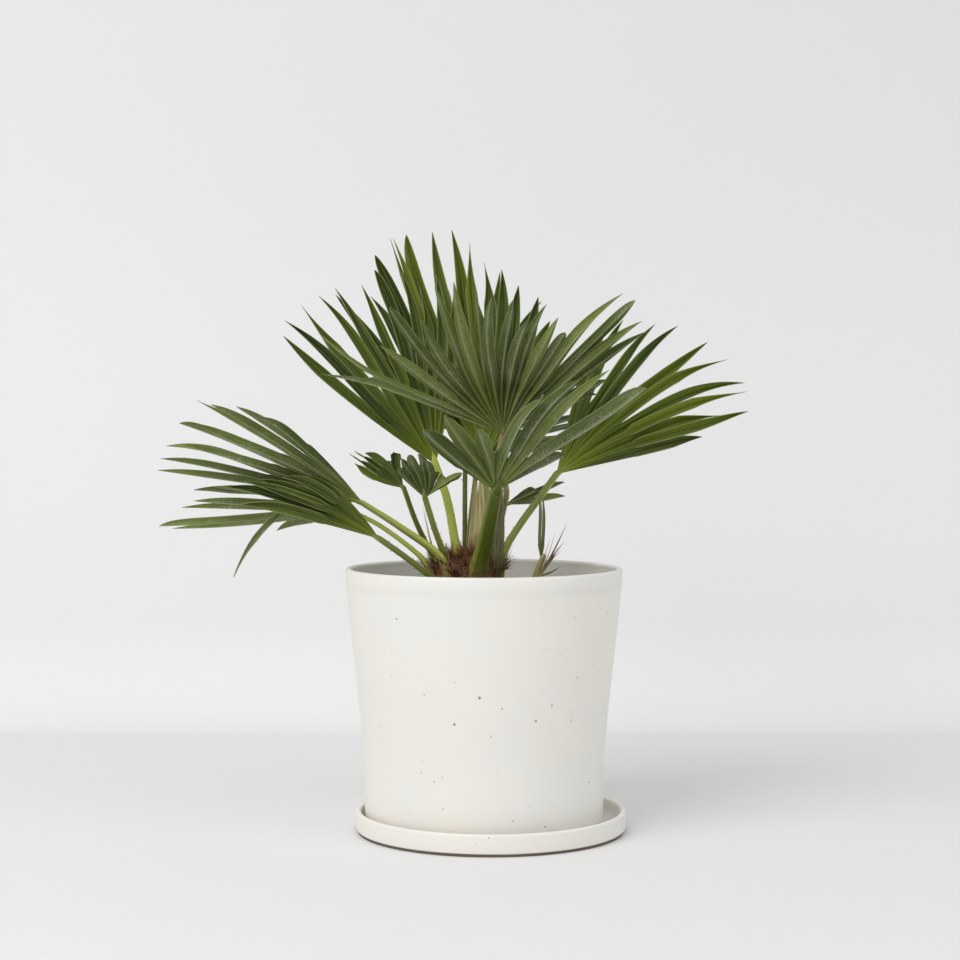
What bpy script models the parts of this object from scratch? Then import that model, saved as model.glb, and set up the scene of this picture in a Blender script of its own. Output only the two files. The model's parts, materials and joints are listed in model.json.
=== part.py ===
# Potted dwarf fan palm: a stoneware pot on its saucer, soil, a fibrous crown, thirteen fan fronds
# on stalks, two strips of dry sheath and one young sucker.
# Metres, +Z up. The origin is the centre of the saucer's flat underside, and the plant's front is -Y.
import math
import random

import bmesh
import bpy
from mathutils import Vector

# Driving sizes
rim_diameter = 0.2552
pot_height = 0.2373
saucer_diameter = 0.250
saucer_height = 0.020
gap = 0.0003

# Pot and saucer, worked out from the driving sizes
rim_radius = rim_diameter / 2
wall = 0.0052
taper = 0.10                    # how far the wall leans out for each metre of height
saucer_floor = 0.006
saucer_radius = saucer_diameter / 2
saucer_wall = 0.005
foot_height = 0.0026            # the unglazed edge under the saucer
pot_x = -0.0062                 # the pot stands a little left of the saucer's centre
pot_foot = saucer_floor + gap
rim_height = pot_foot + pot_height
knee_height = rim_height * 0.30
knee_top = knee_height * 1.15   # the bend at the knee is spread over this band
knee_foot = knee_height * 0.85
pot_floor = pot_foot + 0.0075
drain_radius = 0.008
soil_top = rim_height - 0.030
soil_swell = 0.0015             # height of the soil's gentle humps
soil_waves = (90, 110)          # how closely the humps follow each other along X and Y
turned_steps = 40
lip = 0.0022                    # rounding of the pot's lip
straight_top = rim_height - lip * 2.6

# Crown
crown_x = -0.022
crown_foot = 0.190
crown_radius = 0.037
crown_neck = 0.030
crown_top = 0.2655
crown_steps = 20
tuft_count = 26                 # short tufts of fibre that stand out of the crown
tuft_radius = 0.0034
tuft_inset = 0.86               # the outermost tufts start at this share of the crown's radius
tuft_depth = (0.022, 0.032)     # below the crown's top, at its middle and at its edge
tuft_height = (0.024, 0.036)
tuft_lean = (0.002, 0.014)
dry_tip_radius = 0.0016

# Spines along the stalks
spine_count = 5
spine_start = 0.55              # share of the stalk's length where the spines begin
spine_pitch = 0.09
spine_radius = 0.0008
spine_reach = 0.0016
spine_root = 0.4                # a spine starts at this share of the stalk's radius

# Blades
blade_thickness = 0.0008
fold = 0.20                     # depth of a leaflet's fold for each unit of its width
stagger = 0.022                 # every second leaflet lifts by this share of its length
inner_share = 0.55              # the pleats start inside the hub, at this share of its radius
row_shares = (0.30, 0.62, 0.86) # rows of a leaflet's free part, from the split to the tip
row_widths = (1.0, 0.96, 0.64)
clearance = 0.45                # a leaflet takes this share of the way to each neighbour
smallest_hub = 0.0032
hub_sides = 8
hub_rings = 5
hub_overhang = 1.16             # a hub is this many times as wide as the upper end of its stalk

# Dry strips
strip_thickness = 0.001
strip_dish = 0.3                # rise of a strip's edges for each unit of its half width
strip_widths = (1.0, 1.0, 0.95, 0.9, 0.75, 0.35)

# One entry for each frond. Points are millimetres. "stalk" runs from the foot in the crown to the
# hub, "axis" is the blade's azimuth, elevation and roll in degrees, "spread" the angles of its
# first and last leaflet at the hub, and "leaflets" the angle and length of each leaflet's tip.
# Gaps listed in "forks" open late, those in "tears" open early.
fronds = {
    "front_upper": dict(
        stalk=[(2, -9, 229), (7, -20, 275), (11, -29, 297), (14, -36, 317), (6, -42, 341),
               (11, -45, 368)],
        radius=(3.0, 2.6), axis=(-90, 50, 0), spread=(-64, 62), split=50, width=9.5, forks=(0,),
        leaflets=[(-66, 176), (-55, 196), (-46, 150), (-35, 172), (-28, 150), (-20, 174), (-14, 178),
                  (-9, 163), (-4, 157), (3, 149), (9, 135), (14, 149), (19, 142), (25, 126),
                  (32, 189), (37, 186), (42, 176), (47, 169), (54, 112), (61, 95)]),
    "front_lower": dict(
        stalk=[(-14, -22, 229), (-10, -32, 252), (-5, -45, 272), (0, -62, 297), (4, -75, 317)],
        radius=(8.5, 6.3), axis=(-70, 45, 0), spread=(-50, 46), split=42, width=12, tears=(2,),
        leaflets=[(-47, 122), (-37, 120), (-25, 92), (6, 118), (15, 150), (23, 162), (37, 168),
                  (48, 72)]),
    "left_upper": dict(
        stalk=[(-26, -4, 230), (-29, -4, 250), (-33, -3, 269), (-40, -1, 306), (-51, 0, 339)],
        radius=(4.8, 3.6), axis=(180, 76, 68), spread=(41, -27), split=68, width=9,
        leaflets=[(37, 184), (34, 192), (27, 191), (22, 188), (16, 186), (9, 178), (3, 188),
                  (-4, 181), (-10, 168), (-15, 177), (-22, 170)]),
    "centre_tall": dict(
        stalk=[(-12, 8, 229), (-9, 11, 262), (-6, 17, 300), (-6, 30, 342)],
        radius=(5.2, 4.2), axis=(135, 79, 39), spread=(42, -40), split=82, width=10.5,
        leaflets=[(34, 211), (27, 188), (20, 222), (15, 228), (11, 229), (5, 224), (0, 225),
                  (-4, 209), (-8, 191), (-13, 184), (-19, 173), (-26, 166), (-33, 150)]),
    "right": dict(
        stalk=[(6, 4, 229), (13, 4, 259), (27, 4, 283), (46, 5, 309), (61, 5, 330)],
        radius=(3.8, 3.2), axis=(2, 42, -54), spread=(37, -31), split=68, width=10,
        leaflets=[(34, 160), (28, 166), (18, 174), (10, 181), (0, 187), (-10, 190), (-18, 192),
                  (-22, 191), (-25, 160), (-28, 187), (-31, 140)]),
    "left_low_front": dict(
        stalk=[(-49, -17, 231), (-57, -19, 238), (-78, -27, 255), (-101, -35, 272)],
        radius=(3.0, 2.8), axis=(180, 32, 70), spread=(-21, 14), split=46, width=10.5, droop=0.10,
        leaflets=[(-13, 98), (-5, 112), (0, 128), (4, 140), (8, 155), (13, 134)]),
    "left_low_middle": dict(
        stalk=[(-49, -4, 231), (-62, -5, 251), (-80, -3, 267), (-105, 2, 284), (-130, 5, 296)],
        radius=(2.9, 2.5), axis=(178, 3, -28), spread=(27, -36), split=38, width=8.5,
        droops={0: 0.76},
        leaflets=[(32, 120), (16, 128), (5, 145), (-5, 160), (-14, 191), (-20, 187), (-32, 86)]),
    "left_low_back": dict(
        stalk=[(-37, -21, 230), (-47, -19, 256), (-83, -14, 282), (-118, -10, 304)],
        radius=(5.0, 3.0), axis=(186, 24, -32), spread=(40, -34), split=78, width=10, droop=0.06,
        leaflets=[(34, 150), (29, 165), (25, 183), (20, 190), (12, 176), (5, 187), (-2, 176),
                  (-9, 193), (-13, 196), (-22, 205), (-27, 170)]),
    "left_small_inner": dict(
        stalk=[(-36, -8, 231), (-40, -10, 249), (-51, -17, 279), (-60, -25, 309)],
        radius=(3.2, 2.8), axis=(-100, 60, 0), spread=(-38, 47), split=25, width=8, tears=(4,),
        leaflets=[(-34, 38), (-22, 46), (-12, 48), (-2, 47), (8, 42), (54, 46)]),
    "left_small_outer": dict(
        stalk=[(-43, 5, 231), (-56, 4, 258), (-69, -3, 286), (-80, -14, 318)],
        radius=(2.8, 2.4), axis=(180, 34, 62), spread=(-40, 24), split=24, width=8.5, tears=(0,),
        leaflets=[(-44, 37), (-14, 49), (-4, 57), (4, 59), (12, 53)]),
    "right_small": dict(
        stalk=[(-1, 18, 231), (2, 21, 262), (7, 23, 282), (14, 25, 301)],
        radius=(2.5, 2.2), axis=(10, 15, 30), spread=(-26, 22), split=22, width=8.5,
        leaflets=[(-30, 34), (-15, 59), (11, 60)]),
    "back_tall": dict(
        stalk=[(-23, 24, 231), (-24, 25, 263), (-24, 38, 325), (-23, 45, 361)],
        radius=(2.5, 2.2), axis=(80, 70, 0), spread=(34, -36), split=50, width=8.5,
        leaflets=[(30, 140), (20, 156), (11, 165), (3, 158), (-7, 177), (-15, 150), (-24, 158),
                  (-32, 140)]),
    "back_right": dict(
        stalk=[(-21, 12, 231), (-20, 18, 275), (-15, 32, 320), (-12, 42, 350)],
        radius=(2.5, 2.2), axis=(20, 15, -20), spread=(38, -32), split=48, width=8.5,
        leaflets=[(32, 118), (20, 132), (8, 132), (-5, 124), (-15, 96), (-22, 118), (-28, 152)]),
}

# Two strips of dry leaf sheath beside the thickest stalk, millimetres: route, width, side direction
sheaths = {
    "sheath_tan": dict(route=[(-15, -5, 233), (-14, -6, 262), (-12, -7, 292), (-11, -7, 326)],
                       width=15, side=(1, 0.15, 0)),
    "sheath_grey": dict(route=[(4, -14, 233), (7, -23, 262), (9, -34, 292), (11, -43, 322)],
                        width=10, side=(1, -0.2, 0)),
}

# The young sucker beside the crown, millimetres
sucker_route = [(38, 2, 196), (40, 1, 225), (43, 0, 240), (49, 0, 254)]
sucker_radius = (3.4, 2.6)
sucker_radius_top = 0.0030
sucker_spikes = [(71, -3, 286), (69, 1, 268), (65, -4, 245), (65, 3, 259)]
sucker_spike_foot = (45.5, -1, 236)
sucker_spike_radius = 1.4
sucker_leaf = dict(axis=(-97, 87, 0), spread=(-6, 6), split=14, width=3,
                   leaflets=[(-1.2, 61), (1.2, 57)])
sucker_hole = dict(at=(0.0385, 0.0018), radius=0.0042, bottom=0.196)
hole_depth = 0.08

# Long dry tips that stand out of the crown: foot and tip, millimetres
dry_tips = [((-50, -12, 250), (-64, -13, 302)), ((-44, -13, 250), (-70, -17, 281))]


def millimetres(point):
    return Vector(point) / 1000


def new_collection(name):
    collection = bpy.data.collections.new(name)
    bpy.context.scene.collection.children.link(collection)
    return collection


def new_material(name, colour, roughness, metallic=0.0):
    material = bpy.data.materials.new(name)
    material.use_nodes = True
    material.diffuse_color = (*colour, 1.0)
    shader = material.node_tree.nodes["Principled BSDF"]
    shader.inputs["Base Color"].default_value = (*colour, 1.0)
    shader.inputs["Roughness"].default_value = roughness
    shader.inputs["Metallic"].default_value = metallic
    return material


def new_object(name, mesh, collection, material=None):
    item = bpy.data.objects.new(name, mesh)
    collection.objects.link(item)
    if material is not None:
        mesh.materials.append(material)
    return item


def apply_modifiers(item):
    # The evaluated shape becomes the object's own mesh.
    graph = bpy.context.evaluated_depsgraph_get()
    shape = bpy.data.meshes.new_from_object(item.evaluated_get(graph))
    old = item.data
    item.modifiers.clear()
    item.data = shape
    bpy.data.meshes.remove(old)


def boolean(item, others, operation, solver="EXACT"):
    # The other solids join or cut the item together, and are then removed.
    group = new_collection(item.name + "_others")
    for other in others:
        for owner in list(other.users_collection):
            owner.objects.unlink(other)
        group.objects.link(other)
        other.hide_render = True
        other.display_type = "WIRE"
    step = item.modifiers.new("Boolean", "BOOLEAN")
    step.operation = operation
    step.operand_type = "COLLECTION"
    step.collection = group
    step.solver = solver
    apply_modifiers(item)
    for other in others:
        bpy.data.objects.remove(other)
    bpy.data.collections.remove(group)


def keep_largest_body(item):
    # Scraps that a cut left loose are dropped.
    shape = bmesh.new()
    shape.from_mesh(item.data)
    left = set(shape.verts)
    bodies = []
    while left:
        start = left.pop()
        body = {start}
        queue = [start]
        while queue:
            vertex = queue.pop()
            for edge in vertex.link_edges:
                other = edge.other_vert(vertex)
                if other not in body:
                    body.add(other)
                    queue.append(other)
        left -= body
        bodies.append(body)
    bodies.sort(key=len, reverse=True)
    scraps = [vertex for body in bodies[1:] for vertex in body]
    bmesh.ops.delete(shape, geom=scraps, context="VERTS")
    shape.to_mesh(item.data)
    shape.free()


def turned(name, profile, collection, material, steps=turned_steps):
    # A closed or axis-to-axis outline of (radius, height) points, turned about Z.
    mesh = bpy.data.meshes.new(name)
    points = [(radius, 0.0, height) for radius, height in profile]
    edges = [(i, i + 1) for i in range(len(points) - 1)]
    if profile[0][0] > 0 and profile[-1][0] > 0:
        edges.append((len(points) - 1, 0))
    mesh.from_pydata(points, edges, [])
    item = new_object(name, mesh, collection, material)
    screw = item.modifiers.new("Screw", "SCREW")
    screw.steps = steps
    screw.render_steps = steps
    screw.use_merge_vertices = True
    screw.merge_threshold = 0.0001
    apply_modifiers(item)
    return item


def shade_round(item, angle=math.radians(40)):
    item.data.shade_smooth()
    item.data.set_sharp_from_angle(angle=angle)


def smooth_route(points, count):
    # Evenly numbered points on a smooth curve through the given ones.
    ends = [points[0] * 2 - points[1], *points, points[-1] * 2 - points[-2]]
    route = []
    spans = len(points) - 1
    for i in range(count):
        place = spans * i / (count - 1)
        k = min(int(place), spans - 1)
        t = place - k
        a, b, c, d = ends[k:k + 4]
        point = (b * 2 + (c - a) * t + (a * 2 - b * 5 + c * 4 - d) * t ** 2
                 + (b * 3 - a - c * 3 + d) * t ** 3) / 2
        route.append(point)
    return route


def tube(name, route, radii, collection, material=None):
    # A round bar along a route, whose radius runs evenly from the first value to the second.
    curve = bpy.data.curves.new(name, "CURVE")
    curve.dimensions = "3D"
    curve.bevel_depth = 1.0
    curve.bevel_resolution = 2
    curve.use_fill_caps = True
    spline = curve.splines.new("POLY")
    spline.points.add(len(route) - 1)
    for i, point in enumerate(route):
        share = i / (len(route) - 1)
        spline.points[i].co = (*point, 1.0)
        spline.points[i].radius = radii[0] + (radii[1] - radii[0]) * share
    bar = bpy.data.objects.new(name, curve)
    collection.objects.link(bar)
    graph = bpy.context.evaluated_depsgraph_get()
    mesh = bpy.data.meshes.new_from_object(bar.evaluated_get(graph))
    bpy.data.objects.remove(bar)
    bpy.data.curves.remove(curve)
    mesh.name = name
    shape = bmesh.new()
    shape.from_mesh(mesh)
    bmesh.ops.remove_doubles(shape, verts=shape.verts, dist=0.00001)
    bmesh.ops.recalc_face_normals(shape, faces=shape.faces)
    shape.to_mesh(mesh)
    shape.free()
    mesh.materials.clear()
    return new_object(name, mesh, collection, material)


def spike(name, foot, tip, radius, collection, sides=4):
    # A slender cone from foot to tip.
    mesh = bpy.data.meshes.new(name)
    shape = bmesh.new()
    length = (tip - foot).length
    bmesh.ops.create_cone(shape, cap_ends=True, segments=sides, radius1=radius, radius2=0.0,
                          depth=length)
    turn = (tip - foot).to_track_quat("Z", "Y").to_matrix()
    for vertex in shape.verts:
        vertex.co = turn @ vertex.co + (foot + tip) / 2
    shape.to_mesh(mesh)
    shape.free()
    return new_object(name, mesh, collection)


def thicken(item, thickness=blade_thickness):
    solidify = item.modifiers.new("Solidify", "SOLIDIFY")
    solidify.thickness = thickness
    solidify.offset = 0.0
    apply_modifiers(item)


def blade_axes(azimuth, elevation, roll):
    # Direction of the middle leaflet, the blade's side and its upper face.
    azimuth = math.radians(azimuth)
    elevation = math.radians(elevation)
    roll = math.radians(roll)
    level = math.cos(elevation)
    axis = Vector((level * math.cos(azimuth), level * math.sin(azimuth), math.sin(elevation)))
    upright = (Vector((0, 0, 1)) - axis * axis.z).normalized()
    across = upright.cross(axis)
    normal = upright * math.cos(roll) + across * math.sin(roll)
    return axis, normal.cross(axis), normal


def leaflet_point(axes, angles, length, lift, droop, share):
    # A point on a leaflet's middle line, from the hub at share 0 to the tip at share 1.
    axis, side, normal = axes
    directions = [axis * math.cos(a) + side * math.sin(a) for a in angles]
    along = directions[0].lerp(directions[1], share)
    rise = normal * (lift * length * share)
    return along * (length * share) + rise - Vector((0, 0, droop * length * share ** 3))


def blade_surface(name, frond, hub_radius, collection, material):
    # One open pleated surface: leaflets share their edges near the hub and part beyond the split.
    axes = blade_axes(*frond["axis"])
    normal = axes[2]
    leaflets = frond["leaflets"]
    count = len(leaflets)
    first, last = frond["spread"]
    step = (last - first) / (count - 1)
    width = frond["width"] / 1000
    split = frond["split"] / 1000
    forks = frond.get("forks", ())
    tears = frond.get("tears", ())
    droops = frond.get("droops", {})
    inner = hub_radius * inner_share
    between = ((inner + split) / 2,) if tears else ()
    fused_radii = (inner, *between, split)
    fused_rows = len(fused_radii)

    def reach(i, row):
        # How far out from the hub a leaflet's row lies.
        if row < fused_rows:
            return fused_radii[row]
        return split + (leaflets[i][1] / 1000 - split) * row_shares[row - fused_rows]

    def centre(i, distance):
        # Leaflets past either end stand for the outer edges of the fan.
        k = min(max(i, 0), count - 1)
        base = math.radians(first + step * i)
        tip = math.radians(leaflets[k][0] + step * (i - k))
        length = leaflets[k][1] / 1000
        lift = stagger * (0.5 if k % 2 else -0.5)
        droop = droops.get(k, frond.get("droop", 0.0))
        share = distance / length
        here = leaflet_point(axes, (base, tip), length, lift, droop, share)
        ahead = leaflet_point(axes, (base, tip), length, lift, droop, share + 0.01)
        return here, (ahead - here).normalized()

    shape = bmesh.new()

    def pleat(row):
        # The pleats start flat inside the hub.
        return fold if row else 0.0

    def ridge(i, row):
        # The shared edge between leaflet i and the next one.
        distance = reach(min(max(i, 0), count - 1), row)
        left = centre(i, distance)[0]
        right = centre(i + 1, distance)[0]
        rise = normal * (left - right).length * pleat(row) / 2
        return shape.verts.new((left + right) / 2 + rise)

    def last_shared_row(i):
        if i in forks:
            return fused_rows
        return fused_rows - 2 if i in tears else fused_rows - 1

    rows = fused_rows + len(row_shares)
    ridges = {}
    for i in range(-1, count):
        outer = i in (-1, count - 1)
        last_row = fused_rows - 1 if outer else last_shared_row(i)
        for row in range(last_row + 1):
            ridges[i, row] = ridge(i, row)
    for i in range(count):
        left_edge = []
        middle = []
        right_edge = []
        for row in range(rows):
            distance = reach(i, row)
            here, along = centre(i, distance)
            across = along.cross(normal).normalized() * math.copysign(1, step)
            lifted = across.cross(along) * math.copysign(1, step)
            ways = [(centre(i + turn, distance)[0] - here).length for turn in (-1, 1)]
            spans = [way / 2 for way in ways]
            if row >= fused_rows:
                half = width / 2 * row_widths[row - fused_rows]
                spans = [min(half, way * clearance) for way in ways]
            depth = lifted * sum(spans) * pleat(row) / 2
            middle.append(shape.verts.new(here - depth))
            for edge, gap_index, sign, span in ((left_edge, i - 1, 1, spans[0]),
                                                (right_edge, i, -1, spans[1])):
                shared = ridges.get((gap_index, row))
                if shared is None:
                    shared = shape.verts.new(here + across * (sign * span) + depth)
                edge.append(shared)
        length = leaflets[i][1] / 1000
        way = centre(i, length)[0] - centre(i, reach(i, rows - 1))[0]
        tip = shape.verts.new(middle[-1].co + way)
        for row in range(rows - 1):
            shape.faces.new((left_edge[row], middle[row], middle[row + 1]))
            shape.faces.new((left_edge[row], middle[row + 1], left_edge[row + 1]))
            shape.faces.new((middle[row], right_edge[row], middle[row + 1]))
            shape.faces.new((right_edge[row], right_edge[row + 1], middle[row + 1]))
        shape.faces.new((left_edge[-1], middle[-1], tip))
        shape.faces.new((middle[-1], right_edge[-1], tip))
    shape.normal_update()
    if sum(face.normal.dot(normal) for face in shape.faces) < 0:
        bmesh.ops.reverse_faces(shape, faces=shape.faces)
    mesh = bpy.data.meshes.new(name)
    shape.to_mesh(mesh)
    shape.free()
    return new_object(name, mesh, collection, material)


def hub(name, centre, direction, radius, collection):
    # A small ball with a flat face towards the stalk, half a radius below its centre.
    mesh = bpy.data.meshes.new(name)
    shape = bmesh.new()
    bmesh.ops.create_uvsphere(shape, u_segments=hub_sides, v_segments=hub_rings, radius=radius)
    turn = direction.to_track_quat("Z", "Y").to_matrix()
    for vertex in shape.verts:
        vertex.co = turn @ vertex.co + centre
    everything = [*shape.verts, *shape.edges, *shape.faces]
    bmesh.ops.bisect_plane(shape, geom=everything, plane_co=centre - direction * radius / 2,
                           plane_no=direction, clear_inner=True)
    rim = [edge for edge in shape.edges if edge.is_boundary]
    bmesh.ops.edgeloop_fill(shape, edges=rim)
    bmesh.ops.recalc_face_normals(shape, faces=shape.faces)
    shape.to_mesh(mesh)
    shape.free()
    return new_object(name, mesh, collection)


def blade(name, frond, centre, direction, radius, collection, material):
    # The pleated surface is placed, thickened and joined to its hub.
    item = blade_surface(name, frond, radius, collection, material)
    for vertex in item.data.vertices:
        vertex.co += centre
    thicken(item)
    ball = hub(name + "_hub", centre, direction, radius, collection)
    boolean(item, [ball], "UNION", solver="MANIFOLD")
    return item


def stalk_shape(frond):
    # The route of a stalk up to its blade's hub, with the hub's size and direction.
    points = [millimetres(point) for point in frond["stalk"]]
    route = smooth_route(points, 2 * len(points) - 1)
    direction = (route[-1] - route[-2]).normalized()
    radii = tuple(value / 1000 for value in frond["radius"])
    hub_radius = max(radii[1] * hub_overhang, smallest_hub)
    centre = route[-1]
    route[-1] = centre - direction * (hub_radius / 2 + gap)
    return route, radii, centre, direction, hub_radius


def stalk(name, frond, number, collection, material):
    # A stalk with a few short spines along its two edges.
    route, radii, _, _, _ = stalk_shape(frond)
    item = tube(name, route, radii, collection, material)
    draw = random.Random(number)
    spines = []
    for k in range(spine_count):
        share = spine_start + spine_pitch * k
        place = share * (len(route) - 1)
        i = int(place)
        here = route[i].lerp(route[i + 1], place - i)
        along = (route[i + 1] - route[i]).normalized()
        across = along.cross(Vector((0, -1, 0))).normalized() * (1 if k % 2 else -1)
        thick = radii[0] + (radii[1] - radii[0]) * share
        reach = thick + spine_reach * (1 + draw.random() / 2)
        foot = here + across * thick * spine_root
        tip = here + across * reach + along * spine_radius
        spines.append(spike(name + "_spine", foot, tip, spine_radius, collection, sides=3))
    boolean(item, spines, "UNION")
    return item


def strip_surface(name, strip, widen, collection, material=None):
    # An open strip, dished across its width, narrowing to a ragged tip.
    route = smooth_route([millimetres(point) for point in strip["route"]], len(strip_widths))
    side = Vector(strip["side"]).normalized()
    facing = side.cross(Vector((0, 0, 1))).normalized()
    half = strip["width"] / 2000
    points = []
    for here, share in zip(route, strip_widths):
        reach = half * share + widen
        rise = facing * reach * strip_dish
        points.append(here - side * reach + rise)
        points.append(here)
        points.append(here + side * reach + rise)
    faces = []
    for row in range(len(route) - 1):
        for column in range(2):
            a = row * 3 + column
            faces.append((a, a + 1, a + 4))
            faces.append((a, a + 4, a + 3))
    mesh = bpy.data.meshes.new(name)
    mesh.from_pydata([tuple(point) for point in points], [], faces)
    return new_object(name, mesh, collection, material)


def pot_radius(height):
    # Outside radius of the pot: a straight taper down to the knee, nearly upright below it.
    knee = rim_radius - taper * (rim_height - knee_height)
    if height >= knee_height:
        return knee + taper * (height - knee_height)
    return knee - 0.0015 * (1 - height / knee_height)


def make_pot(collection, material):
    # The outside runs down from the rounded lip, and the inside comes back up.
    profile = [(rim_radius - wall * 0.62, rim_height),
               (rim_radius - lip * 0.55, rim_height - lip * 0.2),
               (rim_radius - lip * 0.1, rim_height - lip),
               (rim_radius, straight_top)]
    for height in (knee_top, knee_foot, pot_foot + 0.012):
        profile.append((pot_radius(height), height))
    foot = pot_radius(pot_foot)
    profile += [(foot - 0.001, pot_foot + 0.005),
                (foot - 0.004, pot_foot + 0.001),
                (foot - 0.008, pot_foot),
                (drain_radius, pot_foot),
                (drain_radius, pot_floor),
                (foot - wall - 0.006, pot_floor),
                (foot - wall - 0.001, pot_floor + 0.005)]
    for height in (knee_foot, knee_top, straight_top):
        profile.append((pot_radius(height) - wall, height))
    profile.append((rim_radius - wall * 0.95, rim_height - lip * 0.5))
    item = turned("pot", profile, collection, material)
    item.location.x = pot_x
    shade_round(item)
    return item


def make_saucer(collection, material):
    outer = saucer_radius
    inner = saucer_radius - saucer_wall
    top = saucer_height
    profile = [(0.0, saucer_floor),
               (inner - 0.006, saucer_floor),
               (inner - 0.001, saucer_floor + 0.003),
               (inner + 0.0002, top - 0.002),
               (inner + saucer_wall * 0.5, top),
               (outer - 0.0006, top - 0.001),
               (outer, top - 0.003),
               (outer, foot_height + 0.001),
               (outer - 0.0008, foot_height),
               (outer - 0.0014, 0.0),
               (0.0, 0.0)]
    item = turned("saucer", profile, collection, material)
    shade_round(item)
    return item


def make_soil(collection, material):
    foot = pot_radius(pot_foot)
    clear = wall + gap
    edge = pot_radius(soil_top)
    profile = [(0.0, soil_top)]
    for share in (0.42, 0.62, 0.82):
        profile.append((edge * share, soil_top))
    profile += [(edge - clear, soil_top),
                (pot_radius(knee_top) - clear, knee_top),
                (pot_radius(knee_foot) - clear, knee_foot),
                (foot - clear - 0.001, pot_floor + 0.005 + gap),
                (foot - clear - 0.007, pot_floor + gap),
                (0.0, pot_floor + gap)]
    item = turned("soil", profile, collection, material)
    for vertex in item.data.vertices:
        x, y, z = vertex.co
        if z > soil_top - 0.001 and edge * 0.5 < math.hypot(x, y) < edge * 0.9:
            along_x, along_y = soil_waves
            vertex.co.z += soil_swell * math.sin(along_x * x + 1.0) * math.cos(along_y * y)
    item.location.x = pot_x
    return item


def make_crown(collection, material, cutters):
    # A squat stub clothed in fibre, with a socket for each stalk and strip.
    profile = [(0.0, crown_top),
               (crown_radius * 0.35, crown_top - 0.002),
               (crown_radius * 0.75, crown_top - 0.009),
               (crown_radius * 0.97, crown_top - 0.020),
               (crown_radius, crown_top - 0.032),
               (crown_neck, soil_top + 0.003),
               (crown_neck, crown_foot),
               (0.0, crown_foot)]
    item = turned("crown", profile, collection, material, steps=crown_steps)
    for vertex in item.data.vertices:
        vertex.co.x += crown_x
    draw = random.Random(7)
    tufts = []
    for foot, tip in dry_tips:
        tufts.append(spike("tuft", millimetres(foot), millimetres(tip), dry_tip_radius, collection))
    golden_angle = math.pi * (3 - math.sqrt(5))
    for k in range(tuft_count):
        angle = k * golden_angle
        share = math.sqrt((k + 0.5) / tuft_count)
        outward = Vector((math.cos(angle), math.sin(angle), 0.0))
        sunk = crown_top - tuft_depth[0] - (tuft_depth[1] - tuft_depth[0]) * share
        foot = Vector((crown_x, 0.0, sunk)) + outward * crown_radius * share * tuft_inset
        lean = tuft_lean[0] + (tuft_lean[1] - tuft_lean[0]) * share * draw.random()
        tip = foot + outward * lean + Vector((0, 0, draw.uniform(*tuft_height)))
        tufts.append(spike("tuft", foot, tip, tuft_radius, collection))
    boolean(item, tufts, "UNION")
    boolean(item, cutters, "DIFFERENCE")
    keep_largest_body(item)
    return item


def socket_cutters(collection):
    # Slightly thicker copies of the lower ends of the stalks and strips.
    cutters = []
    for name, frond in fronds.items():
        route, radii, _, _, _ = stalk_shape(frond)
        low = [point for point in route if point.z < crown_top + 0.050]
        share = (len(low) - 1) / (len(route) - 1)
        thick = (radii[0] + gap, radii[0] + (radii[1] - radii[0]) * share + gap)
        low[0] = low[0] - (low[1] - low[0]).normalized() * gap
        cutters.append(tube(name + "_socket", low, thick, collection))
    for name, strip in sheaths.items():
        cutter = strip_surface(name + "_socket", strip, gap, collection)
        for vertex in cutter.data.vertices[:3]:
            vertex.co.z -= gap
        thicken(cutter, strip_thickness + 2 * gap)
        cutters.append(cutter)
    return cutters


def make_sucker(collection, sheath_material, leaf_material):
    points = [millimetres(point) for point in sucker_route]
    radii = tuple(value / 1000 for value in sucker_radius)
    stem = tube("sucker_sheath", smooth_route(points, 7), radii, collection, sheath_material)
    foot = millimetres(sucker_spike_foot)
    thick = sucker_spike_radius / 1000
    spikes = [spike("spike", foot, millimetres(tip), thick, collection) for tip in sucker_spikes]
    boolean(stem, spikes, "UNION")
    direction = (points[-1] - points[-2]).normalized()
    centre = points[-1] + direction * (sucker_radius_top / 2 + gap)
    blade("sucker_leaf", sucker_leaf, centre, direction, sucker_radius_top, collection,
          leaf_material)


def bore_soil(soil, collection):
    # Plain holes for the crown and the sucker.
    crown_hole = dict(at=(crown_x, 0.0), radius=crown_neck, bottom=crown_foot)
    holes = []
    for place in (crown_hole, sucker_hole):
        radius = place["radius"] + gap * 2
        mesh = bpy.data.meshes.new("hole")
        shape = bmesh.new()
        bmesh.ops.create_cone(shape, cap_ends=True, segments=crown_steps, radius1=radius,
                              radius2=radius, depth=hole_depth)
        shape.to_mesh(mesh)
        shape.free()
        hole = new_object("hole", mesh, collection)
        hole.location = (*place["at"], place["bottom"] - gap + hole_depth / 2)
        holes.append(hole)
    boolean(soil, holes, "DIFFERENCE")


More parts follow.
